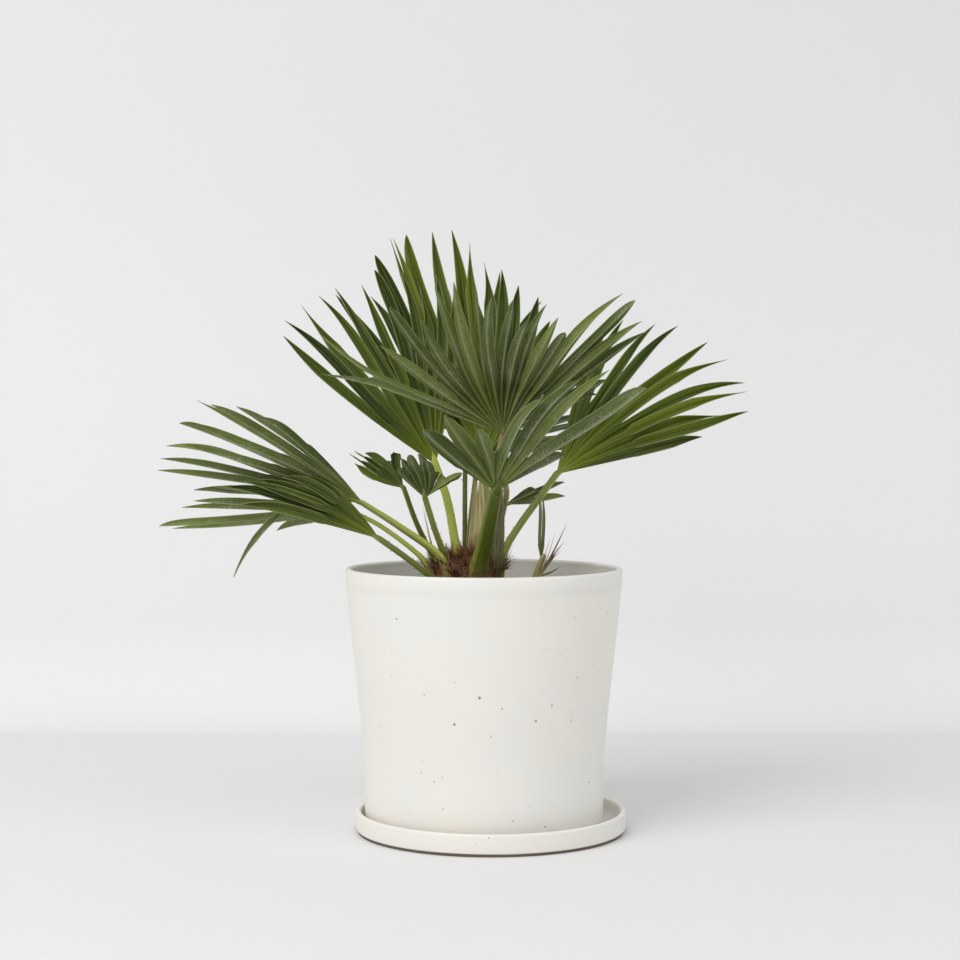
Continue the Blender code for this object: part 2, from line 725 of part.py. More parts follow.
def main():
    for item in list(bpy.data.objects):
        bpy.data.objects.remove(item)
    parts = new_collection("potted_dwarf_fan_palm")
    glaze = new_material("glazed_stoneware", (0.76, 0.74, 0.68), 0.45)
    earth = new_material("soil", (0.045, 0.028, 0.018), 0.95)
    fibre = new_material("crown_fibre", (0.14, 0.05, 0.028), 0.9)
    straw = new_material("dry_sheath", (0.50, 0.43, 0.28), 0.8)
    petiole = new_material("stalk_green", (0.22, 0.30, 0.055), 0.45)
    leaf = new_material("leaf_green", (0.050, 0.115, 0.030), 0.42)
    pale = new_material("sucker_sheath_green", (0.46, 0.50, 0.18), 0.6)

    make_saucer(parts, glaze)
    make_pot(parts, glaze)
    soil = make_soil(parts, earth)
    bpy.context.view_layer.update()
    bore_soil(soil, parts)
    make_crown(parts, fibre, socket_cutters(parts))
    for name, strip in sheaths.items():
        thicken(strip_surface(name, strip, 0.0, parts, straw), strip_thickness)
    for number, (name, frond) in enumerate(fronds.items()):
        stalk("stalk_" + name, frond, number, parts, petiole)
        _, _, centre, direction, radius = stalk_shape(frond)
        blade("blade_" + name, frond, centre, direction, radius, parts, leaf)
    make_sucker(parts, pale, leaf)


main()
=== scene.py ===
import json
import math
import random

import bmesh
import bpy
import numpy as np
from mathutils import Euler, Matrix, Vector, noise

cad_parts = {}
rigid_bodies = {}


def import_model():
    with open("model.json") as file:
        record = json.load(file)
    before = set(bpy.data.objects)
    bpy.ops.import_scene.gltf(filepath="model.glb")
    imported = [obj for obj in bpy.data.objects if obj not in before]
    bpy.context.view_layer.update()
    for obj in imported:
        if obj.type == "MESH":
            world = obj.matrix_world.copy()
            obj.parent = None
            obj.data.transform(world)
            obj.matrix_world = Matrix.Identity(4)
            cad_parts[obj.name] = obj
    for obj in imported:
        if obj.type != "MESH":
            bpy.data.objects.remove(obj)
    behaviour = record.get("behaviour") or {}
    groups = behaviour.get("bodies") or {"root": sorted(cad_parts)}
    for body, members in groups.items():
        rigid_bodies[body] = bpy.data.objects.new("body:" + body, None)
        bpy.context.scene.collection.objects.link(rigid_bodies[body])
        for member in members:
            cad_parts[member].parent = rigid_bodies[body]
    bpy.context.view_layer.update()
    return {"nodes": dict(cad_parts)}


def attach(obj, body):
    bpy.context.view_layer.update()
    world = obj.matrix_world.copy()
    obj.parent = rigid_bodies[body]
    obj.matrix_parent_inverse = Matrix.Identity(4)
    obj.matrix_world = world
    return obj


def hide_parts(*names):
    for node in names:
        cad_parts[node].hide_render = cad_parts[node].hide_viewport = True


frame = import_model()
bpy.ops.object.select_all(action="DESELECT")
print("frame loaded:", len(frame["nodes"]), "nodes")


# camera and light
studio = {
    "cameraPlace": (-0.0099, -1.8823, 0.379),
    "cameraTilt": 88.34,  # degrees from looking straight down
    "lens": 76.4,
    "filmWidth": 36,
    "worldStrength": 0.57,
    # area lights: place, size and power
    "lights": {"keyLight": ((-1.5, -1.9, 2.3), 1.9, 52), "fillLight": ((1.9, -1.5, 1.4), 1.6, 10)},
    "floorColour": (0.80, 0.80, 0.80),
    "wallColour": (0.84, 0.84, 0.84),
    # colour at the wall's top: painted shade, darker where less light falls
    "wallTopPaintedShade": (0.75, 0.75, 0.75),
    "wallHeight": 2.4,
    "wallPlace": 0.60,  # how far behind the pot the paper starts to rise
    "sweepRadius": 0.12,
}


def aimed(place, target=(0, 0, 0.25)):
    return (Vector(target) - Vector(place)).to_track_quat("-Z", "Y").to_euler()


def addAreaLight(name, place, size, power):
    bpy.ops.object.light_add(type="AREA", location=place, rotation=aimed(place))
    lamp = bpy.context.object
    lamp.name = name
    lamp.data.size = size
    lamp.data.energy = power


def setStudio(values):
    scene = bpy.context.scene
    tilt = math.radians(values["cameraTilt"])
    bpy.ops.object.camera_add(location=values["cameraPlace"], rotation=(tilt, 0, 0))
    camera = bpy.context.object
    camera.data.lens = values["lens"]
    camera.data.sensor_width = values["filmWidth"]
    scene.camera = camera
    scene.view_settings.view_transform = "Standard"
    world = bpy.data.worlds.new("softRoom")
    world.use_nodes = True
    background = world.node_tree.nodes["Background"]
    background.inputs["Color"].default_value = (1, 1, 1, 1)
    background.inputs["Strength"].default_value = values["worldStrength"]
    scene.world = world
    for name, lamp in values["lights"].items():
        addAreaLight(name, *lamp)


setStudio(studio)


# helpers for materials

def feed(tree, socket, value):
    if isinstance(value, bpy.types.NodeSocket):
        tree.links.new(value, socket)
    elif isinstance(value, tuple) and len(value) == 3 and len(socket.default_value) == 4:
        socket.default_value = (*value, 1.0)
    else:
        socket.default_value = value


def addNode(tree, kind, **sockets):
    made = tree.nodes.new(kind)
    for name, value in sockets.items():
        feed(tree, made.inputs[name], value)
    return made


def calc(tree, operation, *values, clamp=False):
    made = tree.nodes.new("ShaderNodeMath")
    made.operation = operation
    made.use_clamp = clamp
    for socket, value in zip(made.inputs, values):
        feed(tree, socket, value)
    return made.outputs[0]


def times(tree, first, second):
    return calc(tree, "MULTIPLY", first, second)


def timesPlus(tree, first, second, third, clamp=False):
    return calc(tree, "MULTIPLY_ADD", first, second, third, clamp=clamp)


def ramp(tree, value, low, high):
    # 0 below low, 1 above high, smooth between
    made = tree.nodes.new("ShaderNodeMapRange")
    made.interpolation_type = "SMOOTHSTEP"
    feed(tree, made.inputs["Value"], value)
    made.inputs["From Min"].default_value = low
    made.inputs["From Max"].default_value = high
    return made.outputs["Result"]


def fall(tree, value, low, high):
    # 1 below low, 0 above high, smooth between
    return calc(tree, "SUBTRACT", 1.0, ramp(tree, value, low, high))


def mixColours(tree, share, first, second):
    made = tree.nodes.new("ShaderNodeMix")
    made.data_type = "RGBA"
    feed(tree, made.inputs[0], share)
    feed(tree, made.inputs[6], first)
    feed(tree, made.inputs[7], second)
    return made.outputs[2]


def layOver(tree, colour, other, share, strength):
    return mixColours(tree, times(tree, share, strength), colour, other)


def startMaterial(name, roughness, specular=0.5):
    material = bpy.data.materials.new(name)
    material.use_nodes = True
    shader = material.node_tree.nodes["Principled BSDF"]
    shader.inputs["Roughness"].default_value = roughness
    shader.inputs["Specular IOR Level"].default_value = specular
    return material, material.node_tree, shader


def finishMaterial(tree, shader, colour, rough, height, strength, distance):
    feed(tree, shader.inputs["Base Color"], colour)
    feed(tree, shader.inputs["Roughness"], rough)
    bump = addNode(tree, "ShaderNodeBump", Strength=strength, Distance=distance, Height=height)
    tree.links.new(bump.outputs["Normal"], shader.inputs["Normal"])


def objectPlace(tree):
    return tree.nodes.new("ShaderNodeTexCoord").outputs["Object"]


def uvParts(tree):
    source = tree.nodes.new("ShaderNodeUVMap").outputs[0]
    return addNode(tree, "ShaderNodeSeparateXYZ", Vector=source).outputs


def keptNumbers(tree, name):
    # the four numbers kept on a piece's points
    kept = tree.nodes.new("ShaderNodeAttribute")
    kept.attribute_name = name
    parts = addNode(tree, "ShaderNodeSeparateColor", Color=kept.outputs["Color"])
    return (*parts.outputs[:3], kept.outputs["Alpha"])


def startGroup(name, inputs, outputs):
    tree = bpy.data.node_groups.new(name, "ShaderNodeTree")
    for label, kind, value in inputs:
        socket = tree.interface.new_socket(name=label, in_out="INPUT", socket_type=kind)
        if value is not None:
            socket.default_value = value
    for label in outputs:
        tree.interface.new_socket(name=label, in_out="OUTPUT", socket_type="NodeSocketFloat")
    return tree, tree.nodes.new("NodeGroupInput"), tree.nodes.new("NodeGroupOutput")


def useGroup(tree, group, **sockets):
    made = tree.nodes.new("ShaderNodeGroup")
    made.node_tree = group
    for name, value in sockets.items():
        feed(tree, made.inputs[name], value)
    return made.outputs


def makeGrainGroup():
    # soft cloudy variation and a fine grain, both in the object's own space
    tree, given, out = startGroup("surfaceGrain", [("Scale", "NodeSocketFloat", 10.0)],
                                  ["Cloud", "Grain"])
    place = objectPlace(tree)
    cloud = addNode(tree, "ShaderNodeTexNoise", Vector=place, Scale=given.outputs["Scale"],
                    Detail=3.0, Roughness=0.55)
    finer = times(tree, given.outputs["Scale"], 14.0)
    grain = addNode(tree, "ShaderNodeTexNoise", Vector=place, Scale=finer, Detail=4.0, Roughness=0.6)
    tree.links.new(cloud.outputs[0], out.inputs["Cloud"])
    tree.links.new(grain.outputs[0], out.inputs["Grain"])
    return tree


def makeStreakGroup():
    # lines that run along a piece's own UV map
    tree, given, out = startGroup(
        "fibreStreaks", [("Across", "NodeSocketFloat", 30.0), ("Along", "NodeSocketFloat", 2.0),
                         ("Shift", "NodeSocketFloat", 0.0)], ["Streak", "Fine"])
    uv = uvParts(tree)
    shift = times(tree, given.outputs["Shift"], 57.0)
    results = []
    for share in (1.0, 3.1):
        across = times(tree, times(tree, uv["X"], given.outputs["Across"]), share)
        along = times(tree, uv["Y"], given.outputs["Along"])
        where = addNode(tree, "ShaderNodeCombineXYZ", X=across, Y=along, Z=shift)
        lines = addNode(tree, "ShaderNodeTexNoise", Vector=where.outputs[0], Scale=1.0, Detail=2.0,
                        Roughness=0.5)
        results.append(lines.outputs[0])
    tree.links.new(results[0], out.inputs["Streak"])
    tree.links.new(results[1], out.inputs["Fine"])
    return tree


grainGroup = makeGrainGroup()
streakGroup = makeStreakGroup()


# helpers for meshes

def selectOnly(*items):
    bpy.ops.object.select_all(action="DESELECT")
    for item in items:
        item.select_set(True)
    bpy.context.view_layer.objects.active = items[0]


def editAll():
    bpy.ops.object.mode_set(mode="EDIT")
    bpy.ops.mesh.select_all(action="SELECT")


def editEnd():
    bpy.ops.object.mode_set(mode="OBJECT")


def flipFaces():
    editAll()
    bpy.ops.mesh.flip_normals()
    editEnd()


def selectPoints(item, chosen):
    shape = bmesh.from_edit_mesh(item.data)
    for vertex in shape.verts:
        vertex.select_set(chosen(vertex.co))
    shape.select_flush(False)
    bmesh.update_edit_mesh(item.data)


def splitEdges(item, chosen):
    shape = bmesh.from_edit_mesh(item.data)
    for edge in shape.edges:
        edge.select_set(chosen(edge))
    bmesh.update_edit_mesh(item.data)
    bpy.ops.mesh.edge_split(type="EDGE")


def paint(item, *materials):
    item.data.materials.clear()
    for material in materials:
        item.data.materials.append(material)


def applyModifier(item, kind, **settings):
    selectOnly(item)
    modifier = item.modifiers.new(kind.title(), kind)
    for name, value in settings.items():
        setattr(modifier, name, value)
    bpy.ops.object.modifier_apply(modifier=modifier.name)


def closeMesh(item, smoothAngle=40, merge=0.00002, recalculate=True):
    selectOnly(item)
    editAll()
    bpy.ops.mesh.remove_doubles(threshold=merge)
    if recalculate:
        bpy.ops.mesh.normals_make_consistent(inside=False)
    editEnd()
    bpy.ops.object.shade_smooth_by_angle(angle=math.radians(smoothAngle))


def joined(name, items):
    selectOnly(*items)
    if len(items) > 1:
        bpy.ops.object.join()
    piece = bpy.context.object
    piece.name = name
    piece.data.name = name
    return piece


def handIn(piece, slot, *nodes):
    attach(piece, "root")
    if nodes:
        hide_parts(*nodes)


def points(item):
    values = np.empty(len(item.data.vertices) * 3)
    item.data.vertices.foreach_get("co", values)
    return values.reshape(-1, 3)


def setPoints(item, values):
    item.data.vertices.foreach_set("co", np.asarray(values, float).ravel())
    item.data.update()


def keepNumbers(item, name, numbers):
    # four numbers on every point, each one number for all points or a row with one for each
    count = len(item.data.vertices)
    table = np.stack(np.broadcast_arrays(*numbers, np.zeros(count))[:4], axis=1)
    attribute = item.data.attributes.new(name, "FLOAT_COLOR", "POINT")
    attribute.data.foreach_set("color", table.ravel().astype(np.float32))


def copyOf(master, values, **data):
    # a copy with its own mesh, its points laid at the given places, and numbers kept on its points
    item = master.copy()
    item.data = master.data.copy()
    bpy.context.collection.objects.link(item)
    setPoints(item, values)
    for name, numbers in data.items():
        keepNumbers(item, name, numbers)
    return item


def addGrid(name, columns, rows):
    # a flat grid, with u and v of each point from 0 to 1
    bpy.ops.mesh.primitive_grid_add(x_subdivisions=columns, y_subdivisions=rows, size=1)
    grid = bpy.context.object
    grid.name = name
    return grid, points(grid)[:, :2] + 0.5


def turnedPiece(name, outline, centreX, steps):
    # one point is extruded along the outline, and the outline is spun
    bpy.ops.mesh.primitive_plane_add(size=0.001)
    piece = bpy.context.object
    piece.name = name
    editAll()
    bpy.ops.mesh.merge(type="CENTER")
    bpy.ops.transform.translate(value=(centreX + outline[0][0], 0, outline[0][1]))
    for here, ahead in zip(outline, outline[1:]):
        step = (ahead[0] - here[0], 0, ahead[1] - here[1])
        bpy.ops.mesh.extrude_vertices_move(TRANSFORM_OT_translate={"value": step})
    bpy.ops.mesh.select_all(action="SELECT")
    bpy.ops.mesh.spin(steps=steps, angle=math.tau, center=(centreX, 0, 0), axis=(0, 0, 1))
    editEnd()
    closeMesh(piece)
    return piece


def smoothRoute(given, count):
    # evenly numbered points on a smooth curve through the given ones, millimetres to metres
    given = np.array(given, float) / 1000
    ends = np.vstack([given[0] * 2 - given[1], given, given[-1] * 2 - given[-2]])
    place = np.linspace(0, len(given) - 1, count)
    k = np.minimum(place.astype(int), len(given) - 2)
    t = (place - k)[:, None]
    a, b, c, d = ends[k], ends[k + 1], ends[k + 2], ends[k + 3]
    return (b * 2 + (c - a) * t + (a * 2 - b * 5 + c * 4 - d) * t ** 2
            + (b * 3 - a - c * 3 + d) * t ** 3) / 2


def unit(vectors):
    return vectors / np.linalg.norm(vectors, axis=-1, keepdims=True)


def along(route, share):
    # points of a route at shares of its length, counted by its points
    place = np.clip(np.asarray(share, float), 0, 1) * (len(route) - 1)
    k = np.minimum(place.astype(int), len(route) - 2)
    t = (place - k)[..., None]
    return route[k] * (1 - t) + route[k + 1] * t


def tubeAxes(route, facing):
    forward = unit(np.gradient(route, axis=0))
    side = unit(np.cross(forward, facing))
    return forward, side, np.cross(side, forward)


def rowsOf(uv, route):
    return np.round(uv[:, 1] * (len(route) - 1)).astype(int)


def rolled(uv, route, radius, facing, flat=1.0):
    # lays a grid round a route: u runs round it and v along it
    rows = rowsOf(uv, route)
    _, side, upper = tubeAxes(route, facing)
    turn = uv[:, 0:1] * math.tau
    rise = np.where(np.sin(turn) > 0, flat, 1.0) * np.sin(turn)
    reach = radius[rows][:, None]
    return route[rows] + reach * (side[rows] * np.cos(turn) + upper[rows] * rise)


# pot and saucer: sizes shared with the solids, then the look of the glaze
potValues = {
    "potX": -0.0062,
    "rimHeight": 0.2436,
    "wall": 0.0052,
    "lip": 0.0026,
    "potFoot": 0.0063,
    "potFloor": 0.0138,
    "drainRadius": 0.008,
    "turnSteps": 160,
    "wallRows": 56,
    # height and outside radius down the wall
    "wallPoints": [(241.0, 127.9), (236.5, 128.0), (229.0, 127.5), (222.6, 126.9), (194.8, 123.9),
                   (166.9, 121.0), (120.4, 116.0), (92.0, 113.0), (73.9, 111.6), (55.0, 111.0),
                   (36.6, 110.8), (20.0, 110.4)],
    "saucerRadius": 0.125,
    "saucerHeight": 0.020,
    "saucerWall": 0.005,
    "saucerFloor": 0.006,
    "footHeight": 0.0026,
    "saucerLip": 0.0024,
    # rounded corners: millimetres inwards from the wall, and upwards from the floor or underside
    "potFootCurve": [(0.3, 9), (1, 5), (2.4, 2), (4.5, 0.6), (8, 0)],
    "potFloorCurve": [(6, 0), (2, 1.5), (0.4, 6)],
    "saucerFloorCurve": [(7, 0), (3.5, 0.6), (1.2, 2.6), (0.3, 6)],
    "saucerFootCurve": [(0, 2.2), (0.3, 0.7), (1.2, 0), (1.5, -0.8)],
    "saucerFootInset": 0.0019,
    "glazeWarm": (0.845, 0.81, 0.745),
    "glazeCool": (0.81, 0.80, 0.76),
    # a darker band below the rim: painted shade under the lip's ledge
    "rimLedgeShadeColour": (0.74, 0.72, 0.665),
    "rimLedgeShadeHeight": 0.2285,
    "rimLedgeShadeShare": 0.35,
    "speckColour": (0.15, 0.11, 0.08),
    "speckShare": 0.85,
    # small specks: cells to a metre, then the smallest size and its range as shares of a cell
    "smallSpecks": ((52.0, 0.016, 0.046), (105.0, 0.018, 0.052)),
    # the larger specks: degrees round the pot from its front, height and radius in millimetres
    "specks": [(-2, 138.4, 1.6), (-13, 114.4, 1.4), (23, 116.6, 1.4), (-38, 205.3, 1.2),
               (54, 212.7, 0.8), (26, 179.3, 0.8), (34, 174.8, 0.8), (55, 160.4, 0.9),
               (-42, 175.0, 0.8), (-50, 145.7, 0.8), (3, 105.6, 0.7), (-30, 69.3, 0.8),
               (6, 71.7, 0.7), (21, 41.3, 0.8), (-37, 31.4, 0.8), (9, 37.2, 0.7), (18, 22.3, 0.7),
               (96, 150.0, 0.9), (150, 96.0, 0.9), (-140, 182.0, 0.8), (-95, 84.0, 0.9)],
    "footColour": (0.135, 0.105, 0.080),
    "glazeLine": (0.0029, 0.0037),  # the glaze ends between these heights
    "roughness": 0.40,
}


def outerRadius(height):
    # the pot's outside radius at a height
    heights, radii = zip(*sorted(potValues["wallPoints"]))
    return float(np.interp(height * 1000, heights, radii)) / 1000


def glazeMaterial(values):
    material, tree, shader = startMaterial("glazedStoneware", values["roughness"])
    grain = useGroup(tree, grainGroup, Scale=9.0)
    colour = mixColours(tree, ramp(tree, grain["Cloud"], 0.35, 0.68), values["glazeWarm"],
                        values["glazeCool"])
    place = objectPlace(tree)
    for scale, smallest, extra in values["smallSpecks"]:
        cells = addNode(tree, "ShaderNodeTexVoronoi", Vector=place, Scale=scale)
        chance = addNode(tree, "ShaderNodeSeparateColor", Color=cells.outputs["Color"])
        size = timesPlus(tree, chance.outputs[0], extra, smallest)
        edge = calc(tree, "SUBTRACT", cells.outputs["Distance"], size)
        speck = fall(tree, edge, -0.010, 0.014)
        share = times(tree, speck, ramp(tree, chance.outputs[1], 0.25, 0.95))
        colour = mixColours(tree, share, colour, values["speckColour"])
    marks = 0.0
    for turn, height, radius in values["specks"]:
        turn, height, radius = math.radians(turn), height / 1000, radius / 1000
        reach = outerRadius(height)
        spot = (values["potX"] + reach * math.sin(turn), -reach * math.cos(turn), height)
        apart = tree.nodes.new("ShaderNodeVectorMath")
        apart.operation = "DISTANCE"
        feed(tree, apart.inputs[0], place)
        apart.inputs[1].default_value = spot
        wavy = timesPlus(tree, grain["Grain"], 0.0009, apart.outputs["Value"])
        mark = fall(tree, wavy, radius * 0.7, radius * 1.5)
        marks = calc(tree, "MAXIMUM", mark, marks)
    colour = layOver(tree, colour, values["speckColour"], marks, values["speckShare"])
    height = addNode(tree, "ShaderNodeSeparateXYZ", Vector=place).outputs["Z"]
    # a darker band just below the rim, painted shade under the lip
    away = calc(tree, "ABSOLUTE", calc(tree, "SUBTRACT", height, values["rimLedgeShadeHeight"]))
    rimLedgeShade = fall(tree, away, 0.001, 0.006)
    colour = layOver(tree, colour, values["rimLedgeShadeColour"], rimLedgeShade, values["rimLedgeShadeShare"])
    # the foot under the glaze line is bare clay
    wander = timesPlus(tree, grain["Cloud"], 0.0012, height)
    bare = fall(tree, wander, *values["glazeLine"])
    colour = mixColours(tree, bare, colour, values["footColour"])
    rough = timesPlus(tree, grain["Grain"], 0.14, values["roughness"] - 0.07)
    rough = timesPlus(tree, bare, 0.4, rough, clamp=True)
    waves = timesPlus(tree, grain["Cloud"], 1.6, times(tree, grain["Grain"], 0.25))
    finishMaterial(tree, shader, colour, rough, waves, 0.22, 0.0010)
    return material


def lipArc(middle, half, top, rise):
    # a rounded edge, from inside to outside
    turns = [math.pi * (1 - k / 8) for k in range(9)]
    return [(middle + half * math.cos(turn), top - rise + rise * math.sin(turn) ** 0.8)
            for turn in turns]


def corner(radius, height, curve):
    return [(radius - inwards / 1000, height + upwards / 1000) for inwards, upwards in curve]


def potOutline(values):
    rim, wall, lip, floor = (values[key] for key in ("rimHeight", "wall", "lip", "potFloor"))
    outer = smoothRoute([(radius, 0, height) for height, radius in values["wallPoints"]],
                        values["wallRows"])
    outer = [(x, z) for x, _, z in outer]
    topRadius, foot = outer[0][0], outer[-1][0]
    lipPoints = lipArc(topRadius - lip, lip, rim, lip)
    lipPoints[-1] = (topRadius - 0.00001, rim - lip)
    drain = values["drainRadius"]
    footPoints = corner(foot, values["potFoot"], values["potFootCurve"])
    footPoints += [(drain, values["potFoot"]), (drain, floor)]
    inner = [(x - wall, z) for x, z in reversed(outer) if z > floor + 0.008]
    outline = lipPoints + outer[1:] + footPoints
    outline += corner(foot - wall, floor, values["potFloorCurve"]) + inner[:-1]
    return outline + [outline[0]]


def saucerOutline(values):
    outer = values["saucerRadius"]
    inner = outer - values["saucerWall"]
    floor, foot = values["saucerFloor"], values["footHeight"]
    outline = [(0.0, floor)] + corner(inner, floor, values["saucerFloorCurve"])
    outline += lipArc((inner + outer) / 2, (outer - inner) / 2, values["saucerHeight"],
                      values["saucerLip"])
    outline += corner(outer, foot, values["saucerFootCurve"])
    return outline + [(outer - values["saucerFootInset"], 0.0), (0.0, 0.0)]


glaze = glazeMaterial(potValues)
for name, outline, x in (("pot", potOutline(potValues), potValues["potX"]),
                         ("saucer", saucerOutline(potValues), 0.0)):
    piece = turnedPiece(name + "_turned", outline, x, potValues["turnSteps"])
    paint(piece, glaze)
    handIn(piece, "glazed_stoneware", name)
print("pot and saucer made")


# soil and its bark chips
soilValues = {
    "top": 0.2136,
    "rough": 0.0024,
    "chips": 430,
    "chipSize": (0.0014, 0.0038),
    "dark": (0.022, 0.014, 0.009),
    "light": (0.085, 0.052, 0.030),
    "chipColour": (0.13, 0.072, 0.038),
}


def earthMaterial(name, values, top):
    material, tree, shader = startMaterial(name, 0.93)
    grain = useGroup(tree, grainGroup, Scale=34.0)
    colour = mixColours(tree, ramp(tree, grain["Cloud"], 0.32, 0.72), values["dark"], top)
    rough = timesPlus(tree, grain["Grain"], 0.2, 0.78)
    finishMaterial(tree, shader, colour, rough, grain["Grain"], 0.7, 0.0012)
    return material


def innerRadius(height):
    return outerRadius(height) - potValues["wall"]


def makeSoil(values):
    top = values["top"]
    edge = innerRadius(top) - 0.0004
    under = potValues["potFloor"] + 0.0004
    outline = [(edge * k / 26, top) for k in range(27)]
    outline += [(innerRadius(height) - 0.0006, height) for height in (0.16, 0.10, 0.06, 0.024)]
    outline += [(innerRadius(0.02) - 0.008, under), (0.0, under)]
    bed = turnedPiece("soilBed", outline, potValues["potX"], 110)
    place = points(bed)
    for spot in place:
        if spot[2] > top - 0.0005:
            reach = math.hypot(spot[0] - potValues["potX"], spot[1]) / edge
            rise = (noise.noise(Vector(spot) * 42) + 0.6 * noise.noise(Vector(spot) * 130)
                    + 0.5 * noise.noise(Vector(spot) * 300))
            spot[2] += values["rough"] * rise * (1 if reach < 0.98 else 0.2)
    setPoints(bed, place)
    bpy.ops.mesh.primitive_ico_sphere_add(subdivisions=1, radius=1)
    chip = bpy.context.object
    editAll()
    bpy.ops.transform.vertex_random(offset=0.35, seed=4)
    bpy.ops.transform.resize(value=(1.0, 0.62, 0.36))
    editEnd()
    shape = points(chip)
    draw = np.random.default_rng(11)
    chips = []
    for _ in range(values["chips"]):
        reach = edge * 0.97 * math.sqrt(draw.random())
        turn = draw.random() * math.tau
        size = draw.uniform(*values["chipSize"]) * (0.7 + 0.6 * draw.random())
        yaw, pitch = draw.random() * math.tau, draw.normal() * 0.4
        turned = np.array(Euler((pitch, 0, yaw)).to_matrix())
        where = (potValues["potX"] + reach * math.cos(turn), reach * math.sin(turn),
                 top + size * 0.25 + values["rough"] * 0.3)
        chips.append(copyOf(chip, shape * size @ turned.T + where))
    bpy.data.objects.remove(chip)
    litter = joined("soilChips", chips)
    paint(litter, earthMaterial("barkChips", values, values["chipColour"]))
    paint(bed, earthMaterial("pottingSoil", values, values["light"]))
    return bed, litter


soilBed, soilChips = makeSoil(soilValues)
handIn(soilBed, "soil", "soil")
handIn(soilChips, "soil")
print("soil made")


